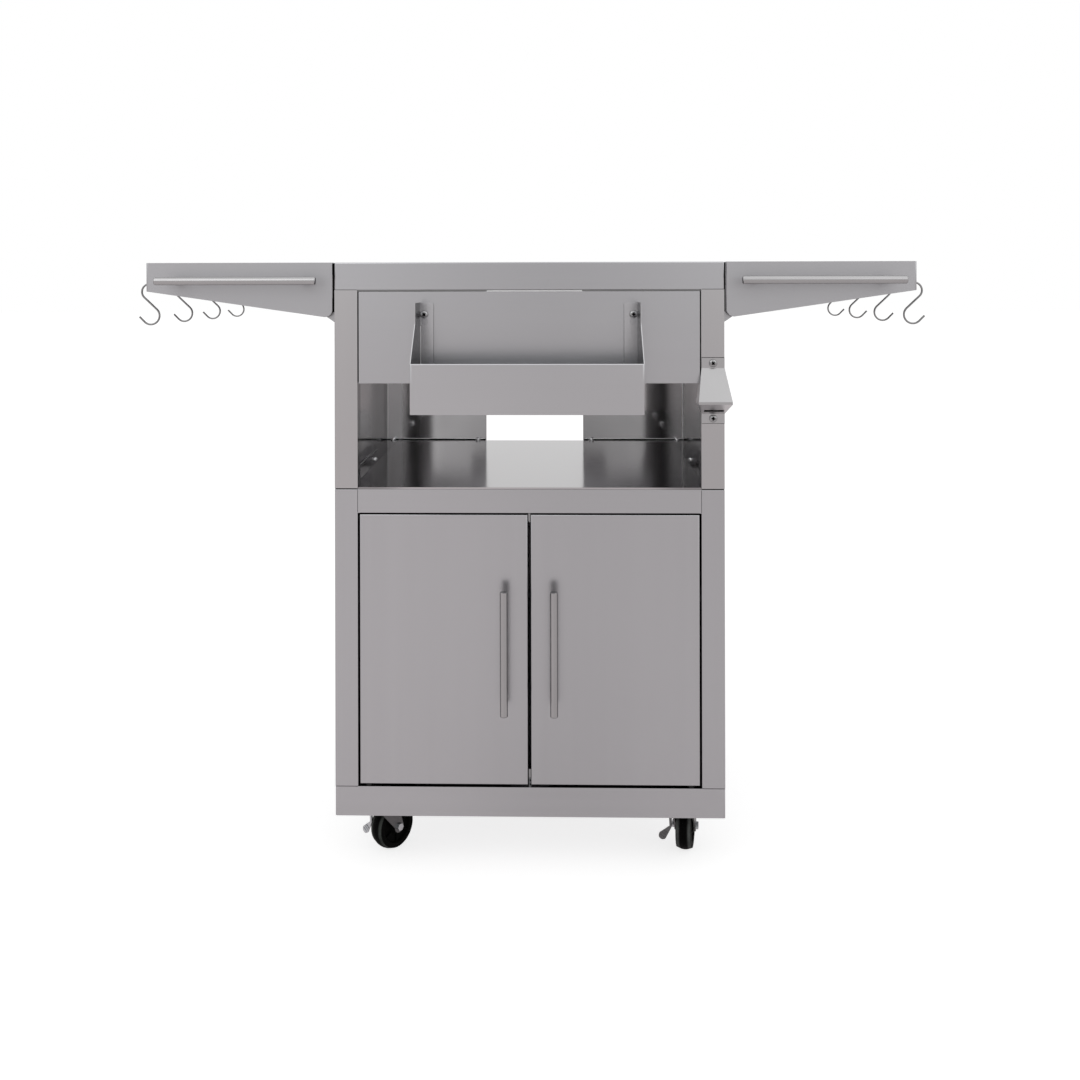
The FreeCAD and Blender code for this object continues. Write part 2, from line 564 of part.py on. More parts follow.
def shelf(name, side):
    """Folding shelf: a tapered pan, closed in front, behind and at its end."""
    on = mirrored(side)
    body = new_body(f"{name}_shelf")
    low = "top_height - shelf_root"
    tip = "top_height - shelf_tip"
    root_low = "top_height - root_flange"
    add(body, "XZ", "-shelf_half", "shelf_half", polygon([(on(x), z) for x, z in (
        (SHELF_ROOT, "top_height"), (SHELF_ROOT, low), (FOLD_X, low),
        (SHELF_END, tip), (SHELF_END, "top_height"))]))
    fillet(body, "shelf_corner - running_fit", lambda a, b: along_depth(a, b) and near(a.z, low)
           and near(abs(a.x), SHELF_ROOT))
    fillet(body, "corner_round", lambda a, b: upright(a, b) and near(abs(a.x), SHELF_END))
    cut(body, "XZ", "-shelf_half + gauge", "shelf_half - gauge", polygon([(on(x), z) for x, z in (
        (f"{SHELF_ROOT} + gauge", "top_height - gauge"), (f"{SHELF_ROOT} + gauge", root_low),
        (SHELF_ROOT, root_low), (SHELF_ROOT, low), (f"{SHELF_END} - gauge", low),
        (f"{SHELF_END} - gauge", "top_height - gauge"))]))
    for end in (-1, 1):
        face = f"{end} * (shelf_half - gauge)"
        deep = f"{end} * (shelf_half - gauge - boss_length)"
        add(body, "XZ", face, deep, circle(on(FOLD_X), FOLD_Z, "boss_radius"))
        cut(body, "XZ", face, deep, circle(on(FOLD_X), FOLD_Z, "pivot_pin + running_fit"))
    cut(body, "YZ", on(f"{SHELF_END} - gauge"), on(SHELF_END),
        *[circle(y, "top_height - hook_hole_drop", "hook_hole") for y in hook_rows()])
    bar = new_body(f"{name}_towel_bar")
    axis_y = "-shelf_half - towel_stand"
    add(bar, "YZ", on("towel_inner"), on("towel_outer"), circle(axis_y, "towel_height", "bar_radius"))
    bevel_ends(bar)
    add(bar, "XZ", axis_y, "-shelf_half", *[circle(on(x), "towel_height", "stud_radius") for x in (
        "towel_inner + towel_stud", "towel_outer - towel_stud")])


def shelf_brackets(name, side):
    """Two angle brackets on the side of the body, with the ears that carry the fold pins."""
    on = mirrored(side)
    body = new_body(f"{name}_shelf_brackets")
    for end in (-1, 1):
        outer = f"{end} * (shelf_half - gauge - boss_length - ear_gap)"
        inner = f"{end} * (shelf_half - gauge - boss_length - ear_gap - ear_thick)"
        far = f"{end} * (shelf_half - gauge - boss_length - ear_gap - bracket_length)"
        add(body, "XZ", outer, inner,
            polygon([(on(x), z) for x, z in (
                (HALF_W, f"{FOLD_Z} - bracket_half"), (HALF_W, f"{FOLD_Z} + bracket_half"),
                (f"{HALF_W} + bracket_sheet", f"{FOLD_Z} + bracket_half"),
                (FOLD_X, f"{FOLD_Z} + ear_radius"),
                (f"{FOLD_X} + ear_radius", f"{FOLD_Z} + ear_radius / 2"),
                (f"{FOLD_X} + ear_radius", f"{FOLD_Z} - ear_radius / 2"),
                (FOLD_X, f"{FOLD_Z} - ear_radius"),
                (f"{HALF_W} + bracket_sheet", f"{FOLD_Z} - bracket_half"))]))
        add(body, "YZ", on(HALF_W), on(f"{HALF_W} + bracket_sheet"),
            rectangle(outer, f"{FOLD_Z} - bracket_half", far, f"{FOLD_Z} + bracket_half"))
        cut(body, "XZ", outer, inner, circle(on(FOLD_X), FOLD_Z, "pivot_pin"))


def shelf_pins():
    body = new_body("shelf_hinge_pins")
    for end in (-1, 1):
        add(body, "XZ", f"{end} * (shelf_half - gauge - pivot_end)",
            f"{end} * (shelf_half - gauge - boss_length - ear_gap - ear_thick - pivot_end)",
            *[circle(mirrored(s)(FOLD_X), FOLD_Z, "pivot_pin") for _, s in SIDES])


def tangent_ends():
    """Ends of the straight run between the two loops of a hook, as sheet numbers give them now."""
    upper, lower = value("hook_upper"), value("hook_lower")
    out, drop = value("hook_lower_in"), value("-hook_lower_drop")
    span = math.hypot(out, drop)
    lean = math.asin((upper + lower) / span)
    run = math.sqrt(span ** 2 - (upper + lower) ** 2)
    heading = math.atan2(drop, out) + lean
    start = (upper * math.cos(heading - math.pi / 2), upper * math.sin(heading - math.pi / 2))
    return start, (start[0] + run * math.cos(heading), start[1] + run * math.sin(heading))


def hook(name, across, back, turn):
    """S hook of round wire, swept along two loops, the straight run between them and a straight tip."""
    body = new_body(name, across=across, back=back, turn=turn, up=HOOK_Z)
    path = new_sketch(body, "XZ", "0")
    upper, lower = value("hook_upper"), value("hook_lower")
    centre = FreeCAD.Vector(value("hook_lower_in"), value("-hook_lower_drop"), 0)
    (ax, az), (bx, bz) = tangent_ends()
    normal = FreeCAD.Vector(0, 0, 1)
    tip = FreeCAD.Vector(value("-hook_tip_out"), value("-hook_tip_drop"), 0)
    reach = tip - centre
    bend = math.atan2(reach.y, reach.x) + math.acos(lower / reach.Length)
    bend_at = centre + FreeCAD.Vector(lower * math.cos(bend), lower * math.sin(bend), 0)
    path.addGeometry(Part.ArcOfCircle(Part.Circle(FreeCAD.Vector(), normal, upper),
                                      0, math.atan2(az, ax) % (2 * math.pi)), False)
    path.addGeometry(Part.LineSegment(FreeCAD.Vector(ax, az, 0), FreeCAD.Vector(bx, bz, 0)), False)
    end = math.atan2(bz - centre.y, bx - centre.x)
    path.addGeometry(Part.ArcOfCircle(Part.Circle(centre, normal, lower), bend, end), False)
    path.addGeometry(Part.LineSegment(tip, bend_at), False)
    path.addConstraint(Sketcher.Constraint("Coincident", 0, 3, -1, 1))
    path.addConstraint(Sketcher.Constraint("PointOnObject", 0, 1, -1))
    path.addConstraint(Sketcher.Constraint("Tangent", 0, 2, 1, 1))
    path.addConstraint(Sketcher.Constraint("Tangent", 1, 2, 2, 2))
    path.addConstraint(Sketcher.Constraint("Tangent", 3, 2, 2, 1))
    tie(path, Sketcher.Constraint("Radius", 0, upper), "hook_upper")
    tie(path, Sketcher.Constraint("Radius", 2, lower), "hook_lower")
    pin_point(path, 2, 3, ("hook_lower_in", "-hook_lower_drop"))
    pin_point(path, 3, 1, ("-hook_tip_out", "-hook_tip_drop"))
    section = new_sketch(body, "XY", "0")
    draw(section, [circle("hook_upper", "0", "hook_wire")])
    doc.recompute()
    sweep = body.newObject("PartDesign::AdditivePipe", f"{name}_wire")
    sweep.Profile = section
    sweep.Spine = (path, [])
    doc.recompute()


def caster_mounts():
    """The four fixed swivel plates with their king pins, and the bolts through the channels."""
    plates = new_body("caster_plates")
    plate_low = "channel_bottom - plate_thick"
    race_low = f"{plate_low} - race_height"
    crown_low = f"{race_low} - crown_gap - crown_thick"
    head_top = f"{crown_low} - crown_gap"
    places = [(x, y) for _, x, y, _ in CASTERS]
    add(plates, "XY", plate_low, "channel_bottom", *[
        rectangle(f"{x} - plate_half_x", f"{y} - plate_half_y", f"{x} + plate_half_x", f"{y} + plate_half_y")
        for x, y in places])
    cut(plates, "XY", plate_low, "channel_bottom",
        *[circle(x, y, "bolt_radius") for x, y in caster_bolt_places()])
    for low, high, radius in ((race_low, plate_low, "race_radius"), (head_top, race_low, "king_radius"),
                              (f"{head_top} - king_head_thick", head_top, "king_head")):
        add(plates, "XY", low, high, *[circle(x, y, radius) for x, y in places])
    bolts = new_body("caster_bolts")
    web_top = "channel_bottom + channel_sheet"
    add(bolts, "XY", plate_low, web_top, *[circle(x, y, "bolt_radius") for x, y in caster_bolt_places()])
    for low, high in ((f"{plate_low} - bolt_head_thick", plate_low), (web_top, f"{web_top} + nut_thick")):
        add(bolts, "XY", low, high, *[hexagon(x, y, "bolt_head") for x, y in caster_bolt_places()])


def caster(name, across, back, turn):
    """Fork, axle and wheel of one caster, drawn about its swivel axis."""
    race_low = "channel_bottom - plate_thick - race_height"
    crown_top = f"{race_low} - crown_gap"
    crown_low = f"{crown_top} - crown_thick"
    fork = new_body(f"{name}_fork", across, back, turn)
    add(fork, "YZ", "-fork_half", "fork_half", polygon([
        ("-crown_half", crown_top), ("crown_half", crown_top), ("trail + axle_boss", "wheel_radius"),
        ("trail - axle_boss", "wheel_radius"), ("-leg_front", "leg_low")]))
    add(fork, "YZ", "-fork_half", "fork_half", circle("trail", "wheel_radius", "axle_boss"))
    add(fork, "XY", crown_low, crown_top, circle("0", "0", "crown_radius"))
    cut(fork, "YZ", "-slot_half", "slot_half", rectangle(
        "-2 * crown_half", "0", "2 * (trail + axle_boss)", crown_low))
    cut(fork, "XY", crown_low, crown_top, circle("0", "0", "king_radius + running_fit"))
    cut(fork, "YZ", "-fork_half", "fork_half", circle("trail", "wheel_radius", "axle_radius"))
    if name.startswith("front"):
        pin_from = "lever_from - lug_gap - lug_thick"
        pin_to = "lever_to + lug_gap + lug_thick"
        for start, end in ((pin_from, "lever_from - lug_gap"), ("lever_to + lug_gap", pin_to)):
            add(fork, "XZ", start, end, rectangle(
                "-fork_half", "lever_z - lug_half", "-lever_x - lug_half", "lever_z + lug_half"))
        add(fork, "XZ", pin_from, pin_to, circle("-lever_x", "lever_z", "lever_pin"))
    axle = new_body(f"{name}_axle", across, back, turn)
    add(axle, "YZ", "-fork_half", "fork_half", circle("trail", "wheel_radius", "axle_radius"))
    for side in (-1, 1):
        add(axle, "YZ", f"{side} * fork_half", f"{side} * (fork_half + axle_head_thick)",
            hexagon("trail", "wheel_radius", "axle_head"))
    swing_x = f"{across} - trail * sin({turn})"
    swing_y = f"{back} + trail * cos({turn})"
    wheel = new_body(f"{name}_wheel", swing_x, swing_y, turn, "wheel_radius")
    half = [("hub_half", "axle_radius + running_fit"), ("hub_half", "hub_radius"),
            ("web_half", "hub_radius + tread_drop"), ("web_half", "rim_radius - tread_drop"),
            ("wheel_half", "rim_radius"), ("wheel_half", "wheel_radius - shoulder_drop"),
            ("web_half", "wheel_radius - tread_drop"), ("web_half / 2", "wheel_radius - tread_drop / 4"),
            ("0", "wheel_radius")]
    revolve(wheel, "XZ", "H_Axis", half + [(f"-({x})", r) for x, r in reversed(half[:-1])])


def brake_lever(name, across, back, turn):
    """Pedal with a slanting round-ended paddle that turns on a pin beside the fork."""
    body = new_body(f"{name}_brake_lever", across, back, turn)
    add(body, "XZ", "lever_from", "lever_to", circle("-lever_x", "lever_z", "lever_barrel"))
    plate_to = "lever_from + lever_sheet"
    add(body, "XZ", "lever_from", plate_to, polygon([
        ("-lever_x + neck_half", "lever_z"), ("-neck_out + neck_half", "neck_low"),
        ("-paddle_out + paddle_side_x", "paddle_low - paddle_side_z"),
        ("-paddle_out - paddle_side_x", "paddle_low + paddle_side_z"),
        ("-neck_out - neck_half", "neck_low"), ("-lever_x - neck_half", "lever_z")]))
    add(body, "XZ", "lever_from", plate_to, circle("-paddle_out", "paddle_low", "paddle_half"))
    cut(body, "XZ", "lever_from", "lever_to", circle("-lever_x", "lever_z", "lever_pin + running_fit"))


base()
cabinet()
bay()
hinge_pins()
catches()
for side_name, sign in SIDES:
    door(side_name, sign)
    shelf(side_name, sign)
    shelf_brackets(side_name, sign)
    for number, row_y in enumerate(hook_rows(), start=1):
        hook(f"{side_name}_hook_{number}", mirrored(sign)(HOOK_X), row_y, "0" if sign < 0 else "180")
shelf_pins()
tray()
bottle_opener()
caster_mounts()
for caster_name, caster_across, caster_back, caster_turn in CASTERS:
    caster(caster_name, caster_across, caster_back, caster_turn)
    if caster_name.startswith("front"):
        brake_lever(caster_name, caster_across, caster_back, caster_turn)
doc.recompute()

for item in doc.Objects:
    if "Invalid" in item.State or "Error" in item.State:
        raise RuntimeError(f"{item.Name} did not compute: {item.State}")
os.makedirs("parts", exist_ok=True)
for piece in PIECES:
    if piece.Shape.isNull() or not piece.Shape.isValid():
        raise RuntimeError(f"{piece.Label} has no valid shape")
    piece.Shape.exportStep(f"parts/{piece.Label}.step")
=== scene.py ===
"""Dresses the kamado cart: finishes, small hardware, floor, light and camera."""

import logging
import math
from dataclasses import dataclass
from enum import Enum
from typing import Callable, Union

import bpy
from mathutils import Matrix, Vector

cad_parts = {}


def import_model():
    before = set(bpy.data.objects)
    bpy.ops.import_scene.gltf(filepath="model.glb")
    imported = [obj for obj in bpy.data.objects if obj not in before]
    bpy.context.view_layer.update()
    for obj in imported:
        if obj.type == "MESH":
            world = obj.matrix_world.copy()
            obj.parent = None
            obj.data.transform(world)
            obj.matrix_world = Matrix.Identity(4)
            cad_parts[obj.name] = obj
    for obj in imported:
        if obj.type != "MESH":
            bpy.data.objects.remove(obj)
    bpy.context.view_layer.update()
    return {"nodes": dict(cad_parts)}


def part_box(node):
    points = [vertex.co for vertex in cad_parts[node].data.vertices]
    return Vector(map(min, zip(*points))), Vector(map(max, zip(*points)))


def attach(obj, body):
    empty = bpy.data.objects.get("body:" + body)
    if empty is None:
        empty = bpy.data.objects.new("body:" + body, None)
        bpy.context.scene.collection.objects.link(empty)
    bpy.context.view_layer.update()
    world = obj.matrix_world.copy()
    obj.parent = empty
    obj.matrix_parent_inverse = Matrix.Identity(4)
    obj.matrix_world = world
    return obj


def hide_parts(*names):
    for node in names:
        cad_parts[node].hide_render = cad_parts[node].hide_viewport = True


LOG = logging.getLogger("kamado_cart")
MM = 0.001
BODY = "cart_body"
TRAY_BODY = "hanging_tray"
SIDES = ("left", "right")
SIGNS = {"left": -1, "right": 1}
CASTERS = ("front_left", "front_right", "rear_left", "rear_right")

# Least part of a normal for a face that looks along an axis, reach that joins points, angle that is smoothed
FACING = 0.9
HAIR = 1e-6
SMOOTH_ANGLE = math.radians(40)

Colour = tuple[float, float, float]
Place = tuple[float, float, float]
Span = tuple[float, float]
Box = tuple[Span, Span, Span]
Shares = tuple[float, ...]
Thing = bpy.types.Object


def operator(operation: str, swapped: bool = False) -> Callable[["Sock", "Value"], "Sock"]:
    """Makes a method of Sock that does one step of arithmetic.

    Args:
        operation: name of the step.
        swapped: whether the other value comes first.

    Returns:
        The method.
    """

    def step(sock: "Sock", other: "Value") -> "Sock":
        """One step of arithmetic with another value."""
        pair = (other, sock) if swapped else (sock, other)
        return sock.graph.math(operation, *pair)

    return step


class Sock:
    """A shader socket that takes part in plain arithmetic."""

    __add__ = operator("ADD")
    __radd__ = operator("ADD", swapped=True)
    __sub__ = operator("SUBTRACT")
    __rsub__ = operator("SUBTRACT", swapped=True)
    __mul__ = operator("MULTIPLY")
    __rmul__ = operator("MULTIPLY", swapped=True)
    __gt__ = operator("GREATER_THAN")
    __lt__ = operator("LESS_THAN")
    larger = operator("MAXIMUM")

    def __init__(self, graph: "Graph", socket: bpy.types.NodeSocket) -> None:
        """Keeps the tree and the socket."""
        self.graph = graph
        self.socket = socket

    def __abs__(self) -> "Sock":
        """Size without its sign."""
        return self.graph.math("ABSOLUTE", self)


Value = Union[Sock, float]
Inputs = dict[str, Union[Value, tuple]]


class Graph:
    """A node tree filled through one method."""

    def __init__(self, tree: bpy.types.NodeTree) -> None:
        """Takes a tree and empties it."""
        self.tree = tree
        self.tree.nodes.clear()

    def node(self, kind: str, settings: dict | None = None, inputs: dict | None = None) -> bpy.types.Node:
        """Adds a node.

        Args:
            kind: node type.
            settings: attributes of the node.
            inputs: values or sockets by input name or number.

        Returns:
            The node.
        """
        made = self.tree.nodes.new(kind)
        for name, value in (settings or {}).items():
            setattr(made, name, value)
        for name, value in (inputs or {}).items():
            if isinstance(value, Sock):
                self.tree.links.new(value.socket, made.inputs[name])
            else:
                made.inputs[name].default_value = value
        return made

    def out(self, node: bpy.types.Node, name: Union[str, int] = 0) -> Sock:
        """Output of a node as a socket with arithmetic."""
        return Sock(self, node.outputs[name])

    def math(self, operation: str, first: Value, second: Value = 0.0) -> Sock:
        """One step of arithmetic with two values."""
        return self.out(self.node("ShaderNodeMath", {"operation": operation}, {0: first, 1: second}))

    def axes(self, source: Sock) -> tuple[Sock, Sock, Sock]:
        """The x, y and z of a vector."""
        split = self.node("ShaderNodeSeparateXYZ", inputs={0: source})
        return self.out(split, 0), self.out(split, 1), self.out(split, 2)

    def vector(self, x: Value, y: Value, z: Value) -> Sock:
        """A vector from its x, y and z."""
        return self.out(self.node("ShaderNodeCombineXYZ", inputs={0: x, 1: y, 2: z}))

    def noise(self, where: Sock, scale: float, detail: float = 3.0) -> Sock:
        """Soft noise from 0 to 1, its scale in patches per metre, with finer layers as detail."""
        inputs = {"Vector": where, "Scale": scale, "Detail": detail}
        return self.out(self.node("ShaderNodeTexNoise", inputs=inputs), 0)

    def ease(self, source: Sock, low: float, high: float) -> Sock:
        """Smooth step from 0 at the low value to 1 at the high one."""
        settings = {"interpolation_type": "SMOOTHSTEP"}
        inputs = {"Value": source, "From Min": low, "From Max": high}
        return self.out(self.node("ShaderNodeMapRange", settings, inputs))

    def tint(self, colour: Colour, amount: Sock) -> Sock:
        """A colour made lighter or darker by an amount around 1."""
        inputs = {number: amount * part for number, part in enumerate(colour)}
        return self.out(self.node("ShaderNodeCombineColor", inputs=inputs))

    def mix(self, shares: Shares, *parts: Sock) -> Value:
        """A level plus a share of each part.

        Args:
            shares: the level, then one share for each part.
            parts: the values.

        Returns:
            The sum.
        """
        total: Value = shares[0]
        for share, part in zip(shares[1:], parts):
            total = total + part * share
        return total

    def bump(self, height: Sock, strength: float, depth: float) -> Sock:
        """Normal of a surface with relief: the share that shows and the depth in metres."""
        inputs = {"Height": height, "Strength": strength, "Distance": depth}
        return self.out(self.node("ShaderNodeBump", inputs=inputs))


class Grain(Enum):
    """Direction that a sheet was brushed in."""

    LEVEL = "level"
    UPRIGHT = "upright"


class Finish:
    """Base of the finishes: a material with one metal or rubber surface."""

    name: str
    slot: str

    def surface(self, graph: Graph) -> Inputs:
        """Inputs of the surface by name, drawn in the tree."""
        raise NotImplementedError

    def build(self) -> bpy.types.Material:
        """Makes the material.

        Returns:
            The material.
        """
        material = bpy.data.materials.new(self.name)
        material.use_nodes = True
        graph = Graph(material.node_tree)
        shader = graph.node("ShaderNodeBsdfPrincipled", inputs=self.surface(graph))
        graph.node("ShaderNodeOutputMaterial", inputs={"Surface": graph.out(shader)})
        return material


@dataclass(frozen=True)
class BrushedSteel(Finish):
    """Stainless sheet with fine streaks, smoother on the faces turned into the bay, and with painted light
    and shade: its back faces, its faces inside the bay and those near the bay's walls made lighter or
    darker.
    """

    name: str
    slot: str
    tone: Colour
    rough: float
    grain: Grain
    inner_rough: float
    # Painted light and shade: gains on the colour of the back faces, of the faces inside the bay and of
    # those near its walls; above 1 paints light, below 1 paints shade
    back_painted_light: float = 1.0
    edge_tint: float = 0.72
    inside_painted_light: float = 1.0
    wall_painted_light: float = 1.0
    corner_rough: float = 0.0
    corner_from: float = 0.24
    corner_width: float = 0.025
    painted_wall_band: Span = (0.18, 0.24)
    inner_x: float = 0.3042
    inner_front: float = -0.2338
    inner_back: float = 0.3742
    back_depth: float = 0.07
    back_rough: float = 0.3
    streak_scale: Span = (3.0, 700.0)
    band_scale: Span = (0.8, 60.0)
    band_offset: float = 0.4
    smudge_scale: float = 3.2
    turn_limit: float = 0.5
    wear: Shares = (0.93, 0.05, 0.04, 0.05)
    rough_wear: Shares = (0.84, 0.2, 0.12)
    relief_share: float = 0.12
    relief: float = 0.06 * MM

    def surface(self, graph: Graph) -> Inputs:
        """Streaks along the grain, soft smudges, a smoother inside, and painted light and shade on the back
        faces, inside the bay and near its walls.

        Args:
            graph: tree to draw in.

        Returns:
            Inputs of the surface by name.
        """
        place = graph.node("ShaderNodeTexCoord")
        where = graph.out(place, "Object")
        x, y, z = graph.axes(where)
        _, turned, upward = graph.axes(graph.out(place, "Normal"))
        lying = abs(upward) > self.turn_limit
        along = x + y * (1.0 - lying)
        across = z + y * lying
        if self.grain is Grain.UPRIGHT:
            along, across = z, x + y
        long, fine = self.streak_scale
        streaks = graph.noise(graph.vector(along * long, across * fine, 0.0), 1.0)
        long, fine = self.band_scale
        bands = graph.noise(graph.vector(along * long, across * fine, self.band_offset), 1.0, detail=2.0)
        smudge = graph.noise(where, self.smudge_scale)

        behind = turned > self.turn_limit
        shell = behind * (y > self.inner_back - self.back_depth)
        inside = (abs(x) < self.inner_x) * (y > self.inner_front) * (y < self.inner_back) * (1.0 - shell)
        back = behind * (y < self.inner_back - self.back_depth)
        # Share of the painted light and shade near the walls of the bay
        painted_wall_share = graph.ease(abs(x), *self.painted_wall_band) * inside
        corner = graph.ease(abs(x), self.corner_from, self.corner_from + self.corner_width) * inside

        rough = self.rough + (self.inner_rough - self.rough) * inside + back * self.back_rough
        rough = rough + corner * self.corner_rough
        wear = graph.mix(self.wear, streaks, bands, smudge)
        # Painted light and shade: the colour made lighter or darker on the back faces, inside the bay and
        # near its walls
        amount = wear * (1.0 + back * (self.back_painted_light - 1.0)) * (1.0 + inside * (self.inside_painted_light - 1.0))
        amount = amount * (1.0 + painted_wall_share * (self.wall_painted_light - 1.0))
        return {
            "Base Color": graph.tint(self.tone, amount),
            "Metallic": 1.0,
            "Specular Tint": (self.edge_tint, self.edge_tint, self.edge_tint, 1.0),
            "Roughness": rough * graph.mix(self.rough_wear, streaks, smudge),
            "Normal": graph.bump(streaks, self.relief_share, self.relief),
        }


@dataclass(frozen=True)
class PlainMetal(Finish):
    """Metal with a soft, even surface: bars, wire, folds, screws and castings, with a gain of painted light
    on faces that look down.
    """

    name: str
    slot: str
    tone: Colour
    rough: float
    speck_scale: float
    edge_tint: float = 1.0
    underside_painted_light: float = 1.0
    relief: float = 0.03 * MM
    mark_scale: float = 14.0
    under_limit: float = -0.3
    wear: Shares = (0.9, 0.1, 0.1)
    rough_wear: Shares = (0.75, 0.3, 0.2)
    relief_share: float = 0.3

    def surface(self, graph: Graph) -> Inputs:
        """Fine specks, handling marks and painted light on faces that look down.

        Args:
            graph: tree to draw in.

        Returns:
            Inputs of the surface by name.
        """
        place = graph.node("ShaderNodeTexCoord")
        where = graph.out(place, "Object")
        fine = graph.noise(where, self.speck_scale, detail=4.0)
        marks = graph.noise(where, self.mark_scale)
        # Painted light: faces that look down get a lighter colour by the underside gain
        under = graph.axes(graph.out(place, "Normal"))[2] < self.under_limit
        wear = graph.mix(self.wear, fine, marks)
        return {
            "Base Color": graph.tint(self.tone, wear * (1.0 + under * (self.underside_painted_light - 1.0))),
            "Metallic": 1.0,
            "Specular Tint": (self.edge_tint, self.edge_tint, self.edge_tint, 1.0),
            "Roughness": self.rough * graph.mix(self.rough_wear, fine, marks),
            "Normal": graph.bump(fine, self.relief_share, self.relief),
        }


@dataclass(frozen=True)
class ZincPlate(Finish):
    """Zinc plated steel with faint crystals and dull patches."""

    name: str
    slot: str
    tone: Colour
    rough: float
    crystal_scale: float = 240.0
    patch_scale: float = 30.0
    wear: Shares = (0.86, 0.1, 0.14)
    rough_gain: Shares = (0.06, 0.14)
    relief_share: float = 0.2
    relief: float = 0.2 * MM

    def surface(self, graph: Graph) -> Inputs:
        """Crystals and patches.

        Args:
            graph: tree to draw in.

        Returns:
            Inputs of the surface by name.
        """
        where = graph.out(graph.node("ShaderNodeTexCoord"), "Object")
        cells = graph.node("ShaderNodeTexVoronoi", inputs={"Vector": where, "Scale": self.crystal_scale})
        crystal = graph.axes(graph.out(cells, "Color"))[0]
        patch = graph.noise(where, self.patch_scale, detail=4.0)
        return {
            "Base Color": graph.tint(self.tone, graph.mix(self.wear, crystal, patch)),
            "Metallic": 1.0,
            "Roughness": graph.mix((self.rough, *self.rough_gain), crystal, patch),
            "Normal": graph.bump(patch, self.relief_share, self.relief),
        }


@dataclass(frozen=True)
class CasterSpot:
    """Swivel axis of a caster, the turn of its fork and the wheel that trails behind it."""

    x: float
    y: float
    turn: float
    trail: float = 30 * MM
    wheel_radius: float = 37.5 * MM

    def frame(self) -> Matrix:
        """Place of the swivel axis on the floor."""
        return Matrix.Translation((self.x, self.y, 0)) @ Matrix.Rotation(math.radians(self.turn), 4, "Z")

    def hub(self) -> Vector:
        """Middle of the wheel."""
        return self.frame() @ Vector((0, self.trail, self.wheel_radius))


@dataclass(frozen=True)
class Rubber(Finish):
    """Black rubber, with a dull painted highlight on the shoulders of a tyre."""

    name: str
    slot: str
    tone: Colour
    rough: float
    spot: CasterSpot | None = None
    painted_sheen: float = 0.0
    tread_radius: float = 33 * MM
    shoulder_rise: Span = (5 * MM, 9 * MM)
    shoulder_fall: Span = (11 * MM, 12.4 * MM)
    grit_scale: float = 420.0
    dust_scale: float = 45.0
    gloss: float = 0.03
    wear: Shares = (0.6, 0.8)
    rough_gain: Shares = (0.1, 0.12)
    relief_share: float = 0.35
    relief: float = 0.3 * MM

    def shoulders(self, graph: Graph, where: Sock) -> Sock:
        """One on the two shoulders of the tread.

        Args:
            graph: tree to draw in.
            where: place on the piece.

        Returns:
            The share.
        """
        hub = self.spot.hub()
        x, y, z = graph.axes(where)
        cos = math.cos(math.radians(self.spot.turn))
        sin = math.sin(math.radians(self.spot.turn))
        across = abs((x - hub.x) * cos + (y - hub.y) * sin)
        along = (y - hub.y) * cos - (x - hub.x) * sin
        up = z - hub.z
        band = graph.ease(across, *self.shoulder_rise) * (1.0 - graph.ease(across, *self.shoulder_fall))
        return band * (along * along + up * up > self.tread_radius ** 2)

    def surface(self, graph: Graph) -> Inputs:
        """Dust and scuffs, and a painted highlight on the shoulders of the tread that follows the dust.

        Args:
            graph: tree to draw in.

        Returns:
            Inputs of the surface by name.
        """
        where = graph.out(graph.node("ShaderNodeTexCoord"), "Object")
        grit = graph.noise(where, self.grit_scale)
        dust = graph.noise(where, self.dust_scale, detail=4.0)
        amount = graph.mix(self.wear, dust)
        # Painted highlight: the shoulders of the tread made lighter
        if self.spot:
            amount = amount + self.shoulders(graph, where) * dust * self.painted_sheen
        return {
            "Base Color": graph.tint(self.tone, amount),
            "Specular IOR Level": self.gloss,
            "Roughness": graph.mix((self.rough, *self.rough_gain), grit, dust),
            "Normal": graph.bump(grit, self.relief_share, self.relief),
        }


# Places of the casters

SPOTS = {
    "front_left": CasterSpot(-245 * MM, -183 * MM, -40.0),
    "front_right": CasterSpot(245 * MM, -183 * MM, -12.0),
    "rear_left": CasterSpot(-245 * MM, 323 * MM, 150.0),
    "rear_right": CasterSpot(245 * MM, 323 * MM, 168.0),
}

# Finishes of the sheets

SHEET = "brushed_stainless"
STEEL: Colour = (0.484, 0.483, 0.498)
WARM_STEEL: Colour = (0.488, 0.479, 0.485)
TRAY_TONE: Colour = (0.51, 0.508, 0.522)
SHELF_TONE: Colour = (0.452, 0.451, 0.465)
LINER_TONE: Colour = (0.44, 0.439, 0.45)
DECK_TONE: Colour = (0.523, 0.509, 0.517)
# Gains of painted light and shade: lighter back faces and rear panels, a darker wall inside the bay
LEVEL_STEEL = BrushedSteel("steel_brushed_level", SHEET, STEEL, 0.24, Grain.LEVEL, 0.14, back_painted_light=1.8)
UPRIGHT_STEEL = BrushedSteel("steel_brushed_upright", SHEET, STEEL, 0.24, Grain.UPRIGHT, 0.12,
                             edge_tint=0.56)
WALL_STEEL = BrushedSteel("steel_wall", SHEET, WARM_STEEL, 0.24, Grain.UPRIGHT, 0.1, back_painted_light=1.1,
                          edge_tint=0.44, inside_painted_light=0.85)
TRAY_STEEL = BrushedSteel("steel_tray", SHEET, TRAY_TONE, 0.24, Grain.LEVEL, 0.14, back_painted_light=1.5,
                          edge_tint=0.4)
SHELF_STEEL = BrushedSteel("steel_shelf", SHEET, SHELF_TONE, 0.42, Grain.LEVEL, 0.3)
